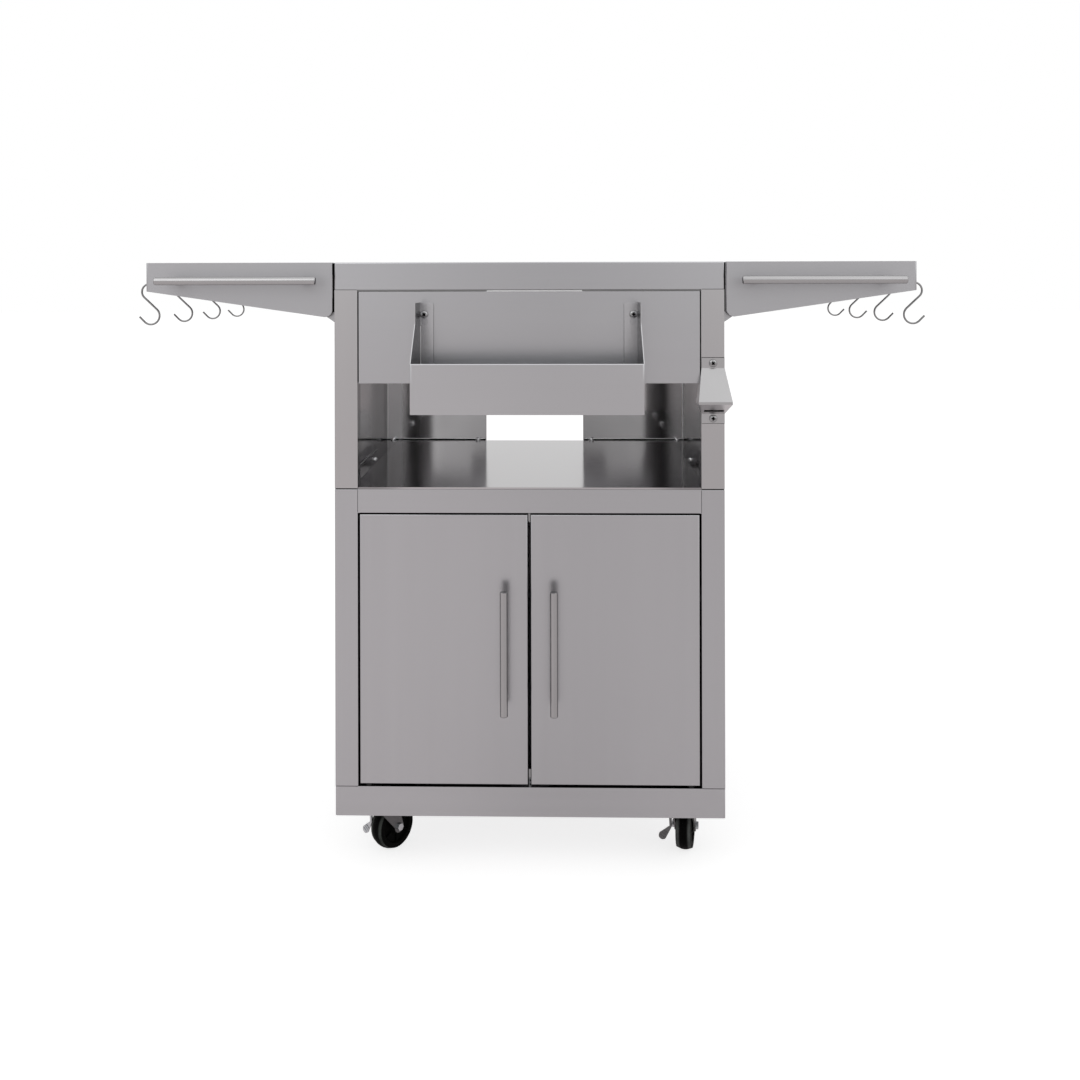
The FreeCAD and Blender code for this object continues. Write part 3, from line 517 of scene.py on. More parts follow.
LEFT_REAR_STEEL = BrushedSteel("steel_rear_left", SHEET, WARM_STEEL, 0.24, Grain.UPRIGHT, 0.07,
                               inside_painted_light=1.41, wall_painted_light=1.43, corner_rough=0.26, corner_from=0.255)
RIGHT_REAR_STEEL = BrushedSteel("steel_rear_right", SHEET, WARM_STEEL, 0.24, Grain.UPRIGHT, 0.07,
                                inside_painted_light=1.26, wall_painted_light=1.15, corner_rough=0.15, corner_from=0.265)
LINER_STEEL = BrushedSteel("steel_liner", SHEET, LINER_TONE, 0.3, Grain.LEVEL, 0.3)
# Deck darker near the walls of the bay: painted shade
DECK_STEEL = BrushedSteel("steel_polished", "polished_deck", DECK_TONE, 0.12, Grain.LEVEL, 0.12,
                          wall_painted_light=0.6)

# Finishes of bars, screws and castings, with painted highlights on fold lines and deck screws, and painted
# shade on dark strips and edges

BAR_STEEL = PlainMetal("steel_satin_bar", "satin_bar", (0.4, 0.395, 0.4), 0.18, 700.0, 0.4)
TOWEL_STEEL = PlainMetal("steel_towel_bar", "satin_bar", (0.42, 0.415, 0.42), 0.22, 700.0, 0.3)
# Strips along fold lines made bright, one fainter: painted highlights
FOLD_HIGHLIGHT = PlainMetal("steel_fold_highlight", SHEET, (0.8, 0.8, 0.8), 0.45, 500.0)
FAINT_FOLD_HIGHLIGHT = PlainMetal("steel_faint_fold_highlight", SHEET, (0.45, 0.45, 0.45), 0.4, 500.0)
# Dark strips in the slit and beside the catches: painted shade
SHADE_STRIP = PlainMetal("steel_shade_strip", SHEET, (0.24, 0.24, 0.24), 0.4, 900.0, 0.6)
# Darker line at the inner edge of the tray flange: painted shade
TRAY_EDGE_SHADE = PlainMetal("steel_tray_edge_shade", SHEET, (0.35, 0.35, 0.35), 0.4, 900.0, 0.6)
# Deck screws in a lighter copy of the screw steel: painted glint
DECK_SCREW_GLINT = PlainMetal("steel_deck_screw_glint", "screw_steel", (0.66, 0.66, 0.67), 0.16, 900.0)
SCREW_STEEL = PlainMetal("steel_screw", "screw_steel", (0.34, 0.34, 0.345), 0.16, 900.0, 0.6)
PIN_STEEL = PlainMetal("steel_pin", "screw_steel", (0.03, 0.03, 0.03), 0.35, 900.0, 0.6)
HOOK_STEEL = PlainMetal("steel_hook_wire", "hook_wire", (0.26, 0.26, 0.26), 0.16, 800.0, 0.5,
                        relief=0.02 * MM)
# Cast opener, its underside lighter by painted light
CAST_METAL = PlainMetal("cast_satin", "cast_opener", (0.46, 0.455, 0.46), 0.3, 900.0, 0.7, 1.7,
                        relief=0.1 * MM)

# Finishes of the casters, and black for painted shade

# Copies of one zinc plate made lighter or darker by painted light and shade: dark forks and right pedal,
# pale axles and left pedal
SHADED_FORK_ZINC = ZincPlate("zinc_fork", "zinc_plate", (0.15, 0.15, 0.153), 0.24)
LIT_ZINC = ZincPlate("zinc_painted_light", "zinc_plate", (0.6, 0.62, 0.64), 0.24)
SHADED_ZINC = ZincPlate("zinc_painted_shade", "zinc_plate", (0.16, 0.16, 0.163), 0.24)
TYRE = Rubber("tyre_rubber", "black_tyre", (0.0025, 0.0025, 0.003), 0.42)
# Front tyres with a painted highlight on their shoulders
LEFT_TYRE = Rubber("tyre_rubber_left", "black_tyre", (0.0026, 0.0028, 0.0026), 0.42,
                   SPOTS["front_left"], painted_sheen=65.0)
RIGHT_TYRE = Rubber("tyre_rubber_right", "black_tyre", (0.0026, 0.0027, 0.0026), 0.42,
                    SPOTS["front_right"], painted_sheen=100.0)
# Black put in shadow gaps, slots and screw recesses: painted shade
SHADE_BLACK = Rubber("painted_shade_black", "black_tyre", (0.003, 0.003, 0.003), 0.6)


def choose_faces(thing: Thing, wanted: Callable[[bpy.types.MeshPolygon], bool]) -> None:
    """Selects faces of the object that is being edited and stays in edit mode.

    Args:
        thing: the object.
        wanted: test for a face.
    """
    bpy.ops.mesh.select_mode(type="FACE")
    bpy.ops.mesh.select_all(action="DESELECT")
    bpy.ops.object.mode_set(mode="OBJECT")
    for face in thing.data.polygons:
        face.select = wanted(face)
    bpy.ops.object.mode_set(mode="EDIT")


def tidy_mesh() -> None:
    """Closes the edit of a piece: merges doubles, turns the normals out and smooths the round faces."""
    bpy.ops.mesh.select_all(action="SELECT")
    bpy.ops.mesh.remove_doubles(threshold=HAIR)
    bpy.ops.mesh.normals_make_consistent(inside=False)
    bpy.ops.object.mode_set(mode="OBJECT")
    bpy.ops.object.shade_smooth_by_angle(angle=SMOOTH_ANGLE)


def copy_at(model: Thing, name: str, place: Matrix) -> Thing:
    """Copies a modelled piece with a mesh of its own, its place in the mesh.

    Args:
        model: the piece to copy.
        name: name of the copy.
        place: where it goes.

    Returns:
        The copy.
    """
    made = model.copy()
    made.data = model.data.copy()
    made.name = name
    made.data.name = name
    made.data.transform(place)
    bpy.context.scene.collection.objects.link(made)
    return made


def block(name: str, middle: Place, size: Place) -> Thing:
    """Block that is ready to be shaped.

    Args:
        name: name of the block.
        middle: its middle.
        size: its three sides.

    Returns:
        The block.
    """
    bpy.ops.mesh.primitive_cube_add(size=1.0, location=middle)
    made = bpy.context.active_object
    made.name = name
    made.scale = size
    bpy.ops.object.transform_apply()
    return made


def around(middle: float, half: float) -> Span:
    """Span around a middle."""
    return middle - half, middle + half


def mirrored(box: Box, sign: int) -> Box:
    """Box on the side of the sign, from its spans in x, y and z on the right side."""
    (inner, outer), y, z = box
    return box if sign > 0 else ((-outer, -inner), y, z)


class Palette:
    """Materials by finish, each built once."""

    def __init__(self) -> None:
        """Starts with no materials."""
        self.made: dict[str, bpy.types.Material] = {}

    def material(self, finish: Finish) -> bpy.types.Material:
        """Material of a finish."""
        if finish.name not in self.made:
            self.made[finish.name] = finish.build()
        return self.made[finish.name]

    def settle(self, piece: Thing, body: str, finish: Finish) -> None:
        """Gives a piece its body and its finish.

        Args:
            piece: the piece.
            body: body it moves with.
            finish: finish it takes.
        """
        piece.data.materials.clear()
        piece.data.materials.append(self.material(finish))
        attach(piece, body)
        LOG.info("piece %s on %s", piece.name, body)


@dataclass
class SheetWork:
    """CAD nodes that share a finish, with a small radius on their edges."""

    finish: Finish
    names: list[str]
    radius: float = 0.0
    weld_reach: float = 0.01 * MM
    flat_angle: float = 1.0
    edge_angle: float = 40.0

    def dress(self, nodes: dict[str, Thing], palette: Palette) -> None:
        """Gives the nodes their material and edge radius.

        Args:
            nodes: CAD nodes by name.
            palette: the materials.
        """
        for name in self.names:
            node = nodes[name]
            node.data.materials.clear()
            node.data.materials.append(palette.material(self.finish))
            if self.radius:
                self.round_edges(node)
            LOG.info("node %s dressed as %s", name, self.finish.name)

    def round_edges(self, node: Thing) -> None:
        """Adds the modifiers that round the edges of a node.

        Args:
            node: the node.
        """
        weld = node.modifiers.new("join", "WELD")
        weld.merge_threshold = self.weld_reach
        flat = node.modifiers.new("flat", "DECIMATE")
        flat.decimate_type = "DISSOLVE"
        flat.angle_limit = math.radians(self.flat_angle)
        edge = node.modifiers.new("edge", "BEVEL")
        edge.width = self.radius
        edge.segments = 2
        edge.limit_method = "ANGLE"
        edge.angle_limit = math.radians(self.edge_angle)
        edge.harden_normals = True


class Piece:
    """Base of what is modelled here."""

    def build(self, palette: Palette) -> None:
        """Models the piece and dresses it."""
        raise NotImplementedError


@dataclass
class ScrewHeads(Piece):
    """Pan heads with a cross recess, its floor black with painted shade, in place of the plain CAD heads of
    one node.
    """

    node: str
    radius: float
    thick: float
    places: list[Place]
    facing: Place
    washer: float
    finish: Finish = SCREW_STEEL
    washer_thick: float = 0.8 * MM
    rim_drop: float = 0.45
    dome: tuple[Span, ...] = ((0.16, 0.25), (0.2, 0.14), (0.2, 0.06))
    arm: Span = (1.05, 0.42)
    cross_half: float = 0.2
    cross_reach: float = 0.32
    cross_floor: Span = (0.45, 0.2)
    turn_step: float = 0.7
    sides: int = 36

    def model(self) -> Thing:
        """Models one head standing on the origin and looking up.

        Returns:
            The head.
        """
        bpy.ops.mesh.primitive_cylinder_add(vertices=self.sides, radius=self.radius, depth=self.thick,
                                            location=(0, 0, self.thick / 2))
        head = bpy.context.active_object
        head.name = f"{self.node}_head"
        bpy.ops.object.transform_apply()
        bpy.ops.object.mode_set(mode="EDIT")
        choose_faces(head, lambda face: face.normal.z > FACING)
        bpy.ops.transform.translate(value=(0, 0, -self.thick * self.rim_drop))
        for share, rise in self.dome:
            bpy.ops.mesh.inset(thickness=self.radius * share, depth=self.thick * rise)
        choose_faces(head, lambda face: face.normal.z < -FACING)
        bpy.ops.mesh.extrude_region_move()
        bpy.ops.transform.resize(value=(self.washer, self.washer, 1))
        bpy.ops.mesh.extrude_region_move(TRANSFORM_OT_translate={"value": (0, 0, -self.washer_thick)})
        bpy.ops.mesh.select_all(action="SELECT")
        bpy.ops.transform.translate(value=(0, 0, self.washer_thick))
        tidy_mesh()
        for turn in (0.0, math.pi / 2):
            self.cut_slot(head, turn)
        return head

    def cut_slot(self, head: Thing, turn: float) -> None:
        """Cuts one arm of the cross recess.

        Args:
            head: the head.
            turn: direction of the arm.
        """
        long, wide = self.arm
        arm = block("arm", (0, 0, self.thick), (self.radius * long, self.radius * wide, self.thick))
        arm.data.transform(Matrix.Rotation(turn, 4, "Z"))
        bpy.ops.object.select_all(action="DESELECT")
        head.select_set(True)
        bpy.context.view_layer.objects.active = head
        cut = head.modifiers.new("recess", "BOOLEAN")
        cut.object = arm
        bpy.ops.object.modifier_apply(modifier=cut.name)
        bpy.data.objects.remove(arm)
        bpy.ops.object.mode_set(mode="EDIT")
        tidy_mesh()

    def model_recess(self) -> Thing:
        """Models the black floor of the cross recess, painted shade: a square pulled out into four arms.

        Returns:
            The cross.
        """
        half = self.radius * self.cross_half
        low, deep = (self.thick * share for share in self.cross_floor)
        middle = (0, 0, low + self.washer_thick + deep / 2)
        cross = block(f"{self.node}_cross", middle, (2 * half, 2 * half, deep))
        bpy.ops.object.mode_set(mode="EDIT")
        for x, y in ((1, 0), (-1, 0), (0, 1), (0, -1)):
            choose_faces(cross, lambda face: face.normal.x * x + face.normal.y * y > FACING
                         and abs(face.center.x * x + face.center.y * y - half) < HAIR)
            reach = (x * self.radius * self.cross_reach, y * self.radius * self.cross_reach, 0)
            bpy.ops.mesh.extrude_region_move(TRANSFORM_OT_translate={"value": reach})
        tidy_mesh()
        return cross

    def build(self, palette: Palette) -> None:
        """Makes every head with its recess and hides the CAD node.

        Args:
            palette: the materials.
        """
        head = self.model()
        cross = self.model_recess()
        turn = Vector((0, 0, 1)).rotation_difference(Vector(self.facing)).to_matrix().to_4x4()
        for number, place in enumerate(self.places, start=1):
            spin = Matrix.Rotation(self.turn_step * number, 4, "Z")
            at = Matrix.Translation(place) @ turn @ spin
            piece = copy_at(head, f"{self.node}_{number}", at)
            palette.settle(piece, BODY, self.finish)
            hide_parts(self.node)
            # Black cross in the recess: painted shade
            dark = copy_at(cross, f"{self.node}_recess_{number}", at)
            palette.settle(dark, BODY, SHADE_BLACK)
        bpy.data.objects.remove(head)
        bpy.data.objects.remove(cross)


@dataclass
class StudWelds(Piece):
    """Weld rings where the studs of a bar meet the sheet."""

    body: str
    radius: float
    bead: float
    places: list[Place]
    segments: tuple[int, int] = (40, 12)

    def model(self) -> Thing:
        """Models one ring around the origin with its flat side on the sheet.

        Returns:
            The ring.
        """
        around_ring, around_bead = self.segments
        bpy.ops.mesh.primitive_torus_add(major_radius=self.radius, minor_radius=self.bead,
                                         major_segments=around_ring, minor_segments=around_bead)
        ring = bpy.context.active_object
        bpy.ops.object.mode_set(mode="EDIT")
        bpy.ops.mesh.select_all(action="SELECT")
        bpy.ops.mesh.bisect(plane_co=(0, 0, 0), plane_no=(0, 0, 1), clear_inner=True, use_fill=True)
        tidy_mesh()
        return ring

    def build(self, palette: Palette) -> None:
        """Makes every ring.

        Args:
            palette: the materials.
        """
        ring = self.model()
        turn = Matrix.Rotation(math.pi / 2, 4, "X")
        for number, place in enumerate(self.places, start=1):
            piece = copy_at(ring, f"{self.body}_stud_weld_{number}", Matrix.Translation(place) @ turn)
            palette.settle(piece, self.body, BAR_STEEL)
        bpy.data.objects.remove(ring)


@dataclass
class JointLine(Piece):
    """Thin strip along a joint of the sheets, its box in millimetres: black or dark for painted shade in a
    gap, bright for a painted highlight on a fold, or a cover strip in the finish of the sheet.
    """

    name: str
    box: Box
    finish: Finish = SHADE_BLACK
    body: str = BODY
    round_share: float = 0.3

    def build(self, palette: Palette) -> None:
        """Models the line: a strip with its front edges rolled over.

        Args:
            palette: the materials.
        """
        middle = tuple((low + high) / 2 * MM for low, high in self.box)
        size = tuple((high - low) * MM for low, high in self.box)
        line = block(self.name, middle, size)
        bpy.ops.object.mode_set(mode="EDIT")
        choose_faces(line, lambda face: face.normal.y < -FACING)
        bpy.ops.mesh.bevel(offset=self.round_share * min(size), segments=4, affect="EDGES")
        tidy_mesh()
        palette.settle(line, self.body, self.finish)


@dataclass
class CornerFold(Piece):
    """Rounded upright fold where a side wall meets its rear panel, bright with a painted highlight."""

    side: str
    wall: float = 303.5 * MM
    panel: float = 372.0 * MM
    floor: float = 597.0 * MM
    size: float = 1.8 * MM
    round_share: float = 0.85

    def build(self, palette: Palette) -> None:
        """Models the fold: a strip whose free upright edge is rounded.

        Args:
            palette: the materials.
        """
        sign = SIGNS[self.side]
        inner = sign * (self.wall - self.size)
        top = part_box(f"{self.side}_rear_panel")[1].z
        middle = (sign * (self.wall - self.size / 2), self.panel - self.size / 2, (self.floor + top) / 2)
        fold = block(f"{self.side}_corner_fold", middle, (self.size, self.size, top - self.floor))
        bpy.ops.object.mode_set(mode="EDIT")
        bpy.ops.mesh.select_mode(type="EDGE")
        bpy.ops.mesh.select_all(action="DESELECT")
        bpy.ops.object.mode_set(mode="OBJECT")
        for edge in fold.data.edges:
            points = [fold.data.vertices[number].co for number in edge.vertices]
            free = [abs(point.x - inner) < HAIR and point.y < self.panel - HAIR for point in points]
            edge.select = all(free)
        bpy.ops.object.mode_set(mode="EDIT")
        bpy.ops.mesh.bevel(offset=self.size * self.round_share, segments=6, affect="EDGES")
        tidy_mesh()
        # Bright fold: painted highlight
        palette.settle(fold, BODY, FOLD_HIGHLIGHT)


class Trim(Piece):
    """Base of the sub-assemblies: the pieces added to one part of the cart, sizes in millimetres."""

    def pieces(self) -> list[Piece]:
        """Pieces of the sub-assembly, in order."""
        raise NotImplementedError

    def pair(self, name: str, box: Box, finish: Finish = SHADE_BLACK, body: str = BODY) -> list[Piece]:
        """A line on each side of the cart, from its box on the right side."""
        return [JointLine(f"{side}_{name}", mirrored(box, sign), finish, body)
                for side, sign in SIGNS.items()]

    def build(self, palette: Palette) -> None:
        """Builds every piece."""
        for piece in self.pieces():
            piece.build(palette)


@dataclass
class DoorTrim(Trim):
    """Weld rings at the handles, and dark strips of painted shade along the top of the doors and at the
    edges of the catches.
    """

    stud_x: float = 38.5
    stud_y: float = -235.0
    stud_z: Span = (270.8, 422.8)
    weld_radius: float = 4.9
    weld_bead: float = 1.1
    top_shade_line: Box = ((3.0, 265.6), (-235.1, -217.0), (554.55, 555.75))
    catch_y: Span = (-214.95, -214.4)
    catch_left: Span = (-3.3, -1.7)
    catch_right: Span = (1.3, 2.6)
    upper_z: Span = (539.0, 557.0)
    lower_z: Span = (128.0, 149.0)
    cap: Box = ((-3.4, 3.4), (-214.97, -214.4), (149.0, 154.3))
    lip: Box = ((-1.7, 2.6), (-214.9, -213.6), (539.0, 541.0))
    dot: Box = ((-0.4, 1.9), (-214.97, -214.4), (130.0, 132.4))

    def pieces(self) -> list[Piece]:
        """Pieces of both doors and both catches."""
        made: list[Piece] = []
        for side, sign in SIGNS.items():
            studs = [(sign * self.stud_x * MM, self.stud_y * MM, z * MM) for z in self.stud_z]
            made.append(StudWelds(f"{side}_door", self.weld_radius * MM, self.weld_bead * MM, studs))
            # Dark strip along the top of the door: painted shade
            seal = mirrored(self.top_shade_line, sign)
            made.append(JointLine(f"{side}_door_top_seal", seal, SHADE_BLACK, f"{side}_door"))
        for name, z in (("upper", self.upper_z), ("lower", self.lower_z)):
            # Dark strips, top and dot at the catches: painted shade
            left = (self.catch_left, self.catch_y, z)
            right = (self.catch_right, self.catch_y, z)
            made.append(JointLine(f"{name}_catch_left_seal", left))
            made.append(JointLine(f"{name}_catch_right_seal", right, SHADE_STRIP))
        made.append(JointLine("lower_catch_shade", self.cap))
        made.append(JointLine("upper_catch_lip", self.lip, SCREW_STEEL))
        made.append(JointLine("lower_catch_dot", self.dot))
        return made


@dataclass
class BayTrim(Trim):
    """Screws, dark lines of painted shade, fold lines with a painted highlight, and cover strips round the
    deck of the bay.
    """

    screw_radius: float = 4.6
    screw_thick: float = 3.9
    screw_washer: float = 1.35
    screw_spots: tuple[Span, ...] = ((287.0, -130.0), (287.0, 73.0), (116.0, 361.0), (290.0, 361.0))
    deck_top: float = 597.0
    rear_shade_line: Box = ((99.0, 303.5), (370.0, 371.9), (597.0, 598.4))
    rear_fold: Box = ((99.0, 303.5), (370.3, 371.9), (598.5, 600.1))
    deck_joint: Box = ((279.0, 303.4), (-205.0, 369.5), (596.9, 597.2))
    panel_fold: Box = ((-299.1, -298.1), (370.9, 371.9), (600.1, 905.0))
    wall_fold: Box = ((-303.45, -302.85), (0.0, 222.0), (597.05, 597.65))

    def pieces(self) -> list[Piece]:
        """Pieces of the deck, the walls and the rear panels."""
        places = [(sign * x * MM, y * MM, self.deck_top * MM)
                  for sign in SIGNS.values() for x, y in self.screw_spots]
        made: list[Piece] = [ScrewHeads("deck_screws", self.screw_radius * MM, self.screw_thick * MM,
                                        places, (0, 0, 1), self.screw_washer, DECK_SCREW_GLINT)]
        # Black line of painted shade where the rear panels meet the deck, and bright fold lines of painted
        # highlight
        made += self.pair("rear_shade_line", self.rear_shade_line)
        made += self.pair("rear_fold", self.rear_fold, FOLD_HIGHLIGHT)
        made += [CornerFold(side) for side in SIDES]
        made += self.pair("deck_joint", self.deck_joint, DECK_STEEL)
        made.append(JointLine("left_panel_fold", self.panel_fold, FOLD_HIGHLIGHT))
        made.append(JointLine("left_wall_fold", self.wall_fold, FAINT_FOLD_HIGHLIGHT))
        return made


@dataclass
class FrontTrim(Trim):
    """Dark strips of painted shade in the joints of the posts and the front rail, and strips of painted
    shade and painted light at the top of the front panel.
    """

    post_x: Span = (269.5, 304.5)
    post_y: Span = (-235.12, -233.8)
    post_levels: tuple[float, ...] = (128.0, 594.75, 907.0)
    joint_half: float = 0.45
    rail_x: float = 269.0
    rail_y: Span = (-235.03, -233.8)
    rail_z: Span = (558.0, 593.0)
    rail_edge: Box = ((-266.0, 266.0), (-235.12, -234.2), (556.6, 557.45))
    strip_y: Span = (-233.4, -231.6)
    strip_z: Span = (904.3, 907.6)
    strip_left: Span = (-268.5, -65.6)
    strip_right: Span = (83.6, 268.5)
    strip_middle: Span = (-65.5, 83.5)
    light_z: Span = (904.3, 906.0)
    shade_z: Span = (906.1, 907.6)

    def pieces(self) -> list[Piece]:
        """Pieces of the posts, the rail and the panel."""
        made: list[Piece] = []
        # Dark strips at the joints: painted shade
        for level in self.post_levels:
            joint = (self.post_x, self.post_y, around(level, self.joint_half))
            made += self.pair(f"post_seal_{round(level)}", joint)
        made += self.pair("rail_shade_line", (around(self.rail_x, self.joint_half), self.rail_y, self.rail_z))
        made.append(JointLine("rail_edge_shade", self.rail_edge))
        # Dark strips of painted shade in the slit, with a bright strip of painted light in its middle
        for name, x, z, finish in (("left", self.strip_left, self.strip_z, SHADE_STRIP),
                                   ("right", self.strip_right, self.strip_z, SHADE_STRIP),
                                   ("middle", self.strip_middle, self.shade_z, SHADE_STRIP),
                                   ("light", self.strip_middle, self.light_z, FOLD_HIGHLIGHT)):
            made.append(JointLine(f"panel_top_strip_{name}", (x, self.strip_y, z), finish))
        return made


@dataclass
class TrayTrim(Trim):
    """Screws that the front tray hangs on, darker lines of painted shade at the edges of its flange and a
    bright fold line of painted highlight.
    """

    screw_radius: float = 5.6
    screw_thick: float = 2.8
    screw_washer: float = 1.18
    screw_x: float = 163.5
    screw_z: float = 868.0
    flange: Box = ((148.45, 148.95), (-236.1, -235.35), (790.0, 884.0))
    fold: Box = ((-169.7, -168.9), (-237.7, -236.9), (770.0, 850.0))

    def pieces(self) -> list[Piece]:
        """Pieces of the tray."""
        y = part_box("tray_screws")[0].y + self.screw_thick * MM
        places = [(sign * self.screw_x * MM, y, self.screw_z * MM) for sign in SIGNS.values()]
        made: list[Piece] = [ScrewHeads("tray_screws", self.screw_radius * MM, self.screw_thick * MM,
                                        places, (0, -1, 0), self.screw_washer)]
        # Darker lines at the flange edges: painted shade; bright fold line: painted highlight
        made += self.pair("tray_flange_shade", self.flange, TRAY_EDGE_SHADE, TRAY_BODY)
        made.append(JointLine("left_tray_fold", self.fold, FOLD_HIGHLIGHT, TRAY_BODY))
        return made


@dataclass
class ShelfTrim(Trim):
    """Black fill of painted shade in the gaps between the body and the side shelves."""

    gap_y: Span = (-232.0, -212.0)
    gap_z: Span = (872.0, 948.5)
    left_gap: Span = (-308.4, -305.0)
    right_gap: Span = (305.0, 307.5)
    right_strip: Span = (307.5, 308.4)

    def pieces(self) -> list[Piece]:
        """Painted shade in both gaps, and the strip in the right one."""
        return [
            JointLine("left_shelf_shade", (self.left_gap, self.gap_y, self.gap_z)),
            JointLine("right_shelf_shade", (self.right_gap, self.gap_y, self.gap_z)),
            JointLine("right_shelf_strip", (self.right_strip, self.gap_y, self.gap_z), SHELF_STEEL),
        ]


@dataclass
class OpenerTrim(Trim):
    """Screws, dark lines of painted shade along the edges, and the slot of the bottle opener filled with
    painted shade.
    """

    screw_radius: float = 5.6
    screw_thick: float = 2.6
    screw_washer: float = 1.18
    screw_x: float = 287.0
    screw_z: Span = (791.5, 705.5)
    edge_x: Span = (269.6, 304.6)
    edge_y: Span = (-236.0, -235.05)
    edge_half: float = 0.35
    low_edge: float = 697.65
    high_edge: float = 800.35
    slot_shade: Box = ((271.8, 302.2), (-243.45, -243.02), (716.4, 720.9))

    def pieces(self) -> list[Piece]:
        """Pieces of the opener."""
        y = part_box("opener_screws")[0].y + self.screw_thick * MM
        places = [(self.screw_x * MM, y, z * MM) for z in self.screw_z]
        made: list[Piece] = [ScrewHeads("opener_screws", self.screw_radius * MM, self.screw_thick * MM,
                                        places, (0, -1, 0), self.screw_washer)]
        # Dark lines along the low and high edges: painted shade
        for name, level in (("low", self.low_edge), ("high", self.high_edge)):
            edge = (self.edge_x, self.edge_y, around(level, self.edge_half))
            made.append(JointLine(f"opener_{name}_seal", edge))
        # Dark plate in the slot: painted shade
        made.append(JointLine("opener_slot_shade", self.slot_shade))
        return made


@dataclass
class CasterTrim(Piece):
    """Small parts of one caster: ribs in the wheel and, in front, grip bars on the pedal."""

    name: str
    spot: CasterSpot
    pedal: Finish | None
    rib_middle: Place = (10.2 * MM, 0.0, 19.0 * MM)
    rib_size: Place = (2.8 * MM, 2.4 * MM, 14.6 * MM)
    rib_taper: float = 0.55
    rib_edge: float = 0.35 * MM
    rib_count: int = 6
    grip_size: Place = (8.4 * MM, 1.8 * MM, 1.7 * MM)
    grip_edge: float = 0.6 * MM
    paddle_top: Place = (-20.5 * MM, 1.8 * MM, 44.0 * MM)
    paddle_low: Place = (-33.6 * MM, 1.8 * MM, 28.0 * MM)
    grip_shares: tuple[float, ...] = (0.62, 0.84, 1.06)

    def model_ribs(self) -> Thing:
        """Models the ribs of one wheel face around the origin, the axle along X.

        Returns:
            The ribs.
        """
        ribs = block("ribs", self.rib_middle, self.rib_size)
        bpy.ops.object.mode_set(mode="EDIT")
        choose_faces(ribs, lambda face: face.normal.x > FACING)
        bpy.ops.transform.resize(value=(1, self.rib_taper, 1))
        bpy.ops.mesh.select_all(action="SELECT")
        bpy.ops.mesh.bevel(offset=self.rib_edge, segments=2, affect="EDGES")
        bpy.ops.mesh.select_all(action="SELECT")
        bpy.ops.mesh.spin(steps=self.rib_count, dupli=True, angle=math.tau, center=(0, 0, 0), axis=(1, 0, 0))
        tidy_mesh()
        return ribs

    def model_grip(self) -> Thing:
        """Models one grip bar of the pedal, along X, around the origin.

        Returns:
            The bar.
        """
        grip = block("grip", (0, 0, 0), self.grip_size)
        bpy.ops.object.mode_set(mode="EDIT")
        bpy.ops.mesh.select_all(action="SELECT")
        bpy.ops.mesh.bevel(offset=self.grip_edge, segments=3, affect="EDGES")
        tidy_mesh()
        return grip

    def build(self, palette: Palette) -> None:
        """Makes the ribs and, where there is a pedal, its grip bars.

        Args:
            palette: the materials.
        """
        ribs = self.model_ribs()
        hub = Matrix.Translation((0, self.spot.trail, self.spot.wheel_radius))
        for side, flip in (("outer", 0.0), ("inner", math.pi)):
            place = self.spot.frame() @ hub @ Matrix.Rotation(flip, 4, "Z")
            piece = copy_at(ribs, f"{self.name}_wheel_ribs_{side}", place)
            palette.settle(piece, f"{self.name}_roller", TYRE)
        bpy.data.objects.remove(ribs)
        if self.pedal:
            self.build_grips(palette)

    def build_grips(self, palette: Palette) -> None:
        """Makes the grip bars across the front face of the paddle.

        Args:
            palette: the materials.
        """
        grip = self.model_grip()
        top = Vector(self.paddle_top)
        low = Vector(self.paddle_low)
        lean = math.atan2(top.x - low.x, top.z - low.z)
        for number, share in enumerate(self.grip_shares, start=1):
            at = top.lerp(low, share)
            place = self.spot.frame() @ Matrix.Translation(at) @ Matrix.Rotation(lean, 4, "Y")
            piece = copy_at(grip, f"{self.name}_pedal_grip_{number}", place)
            palette.settle(piece, f"{self.name}_brake", self.pedal)
        bpy.data.objects.remove(grip)


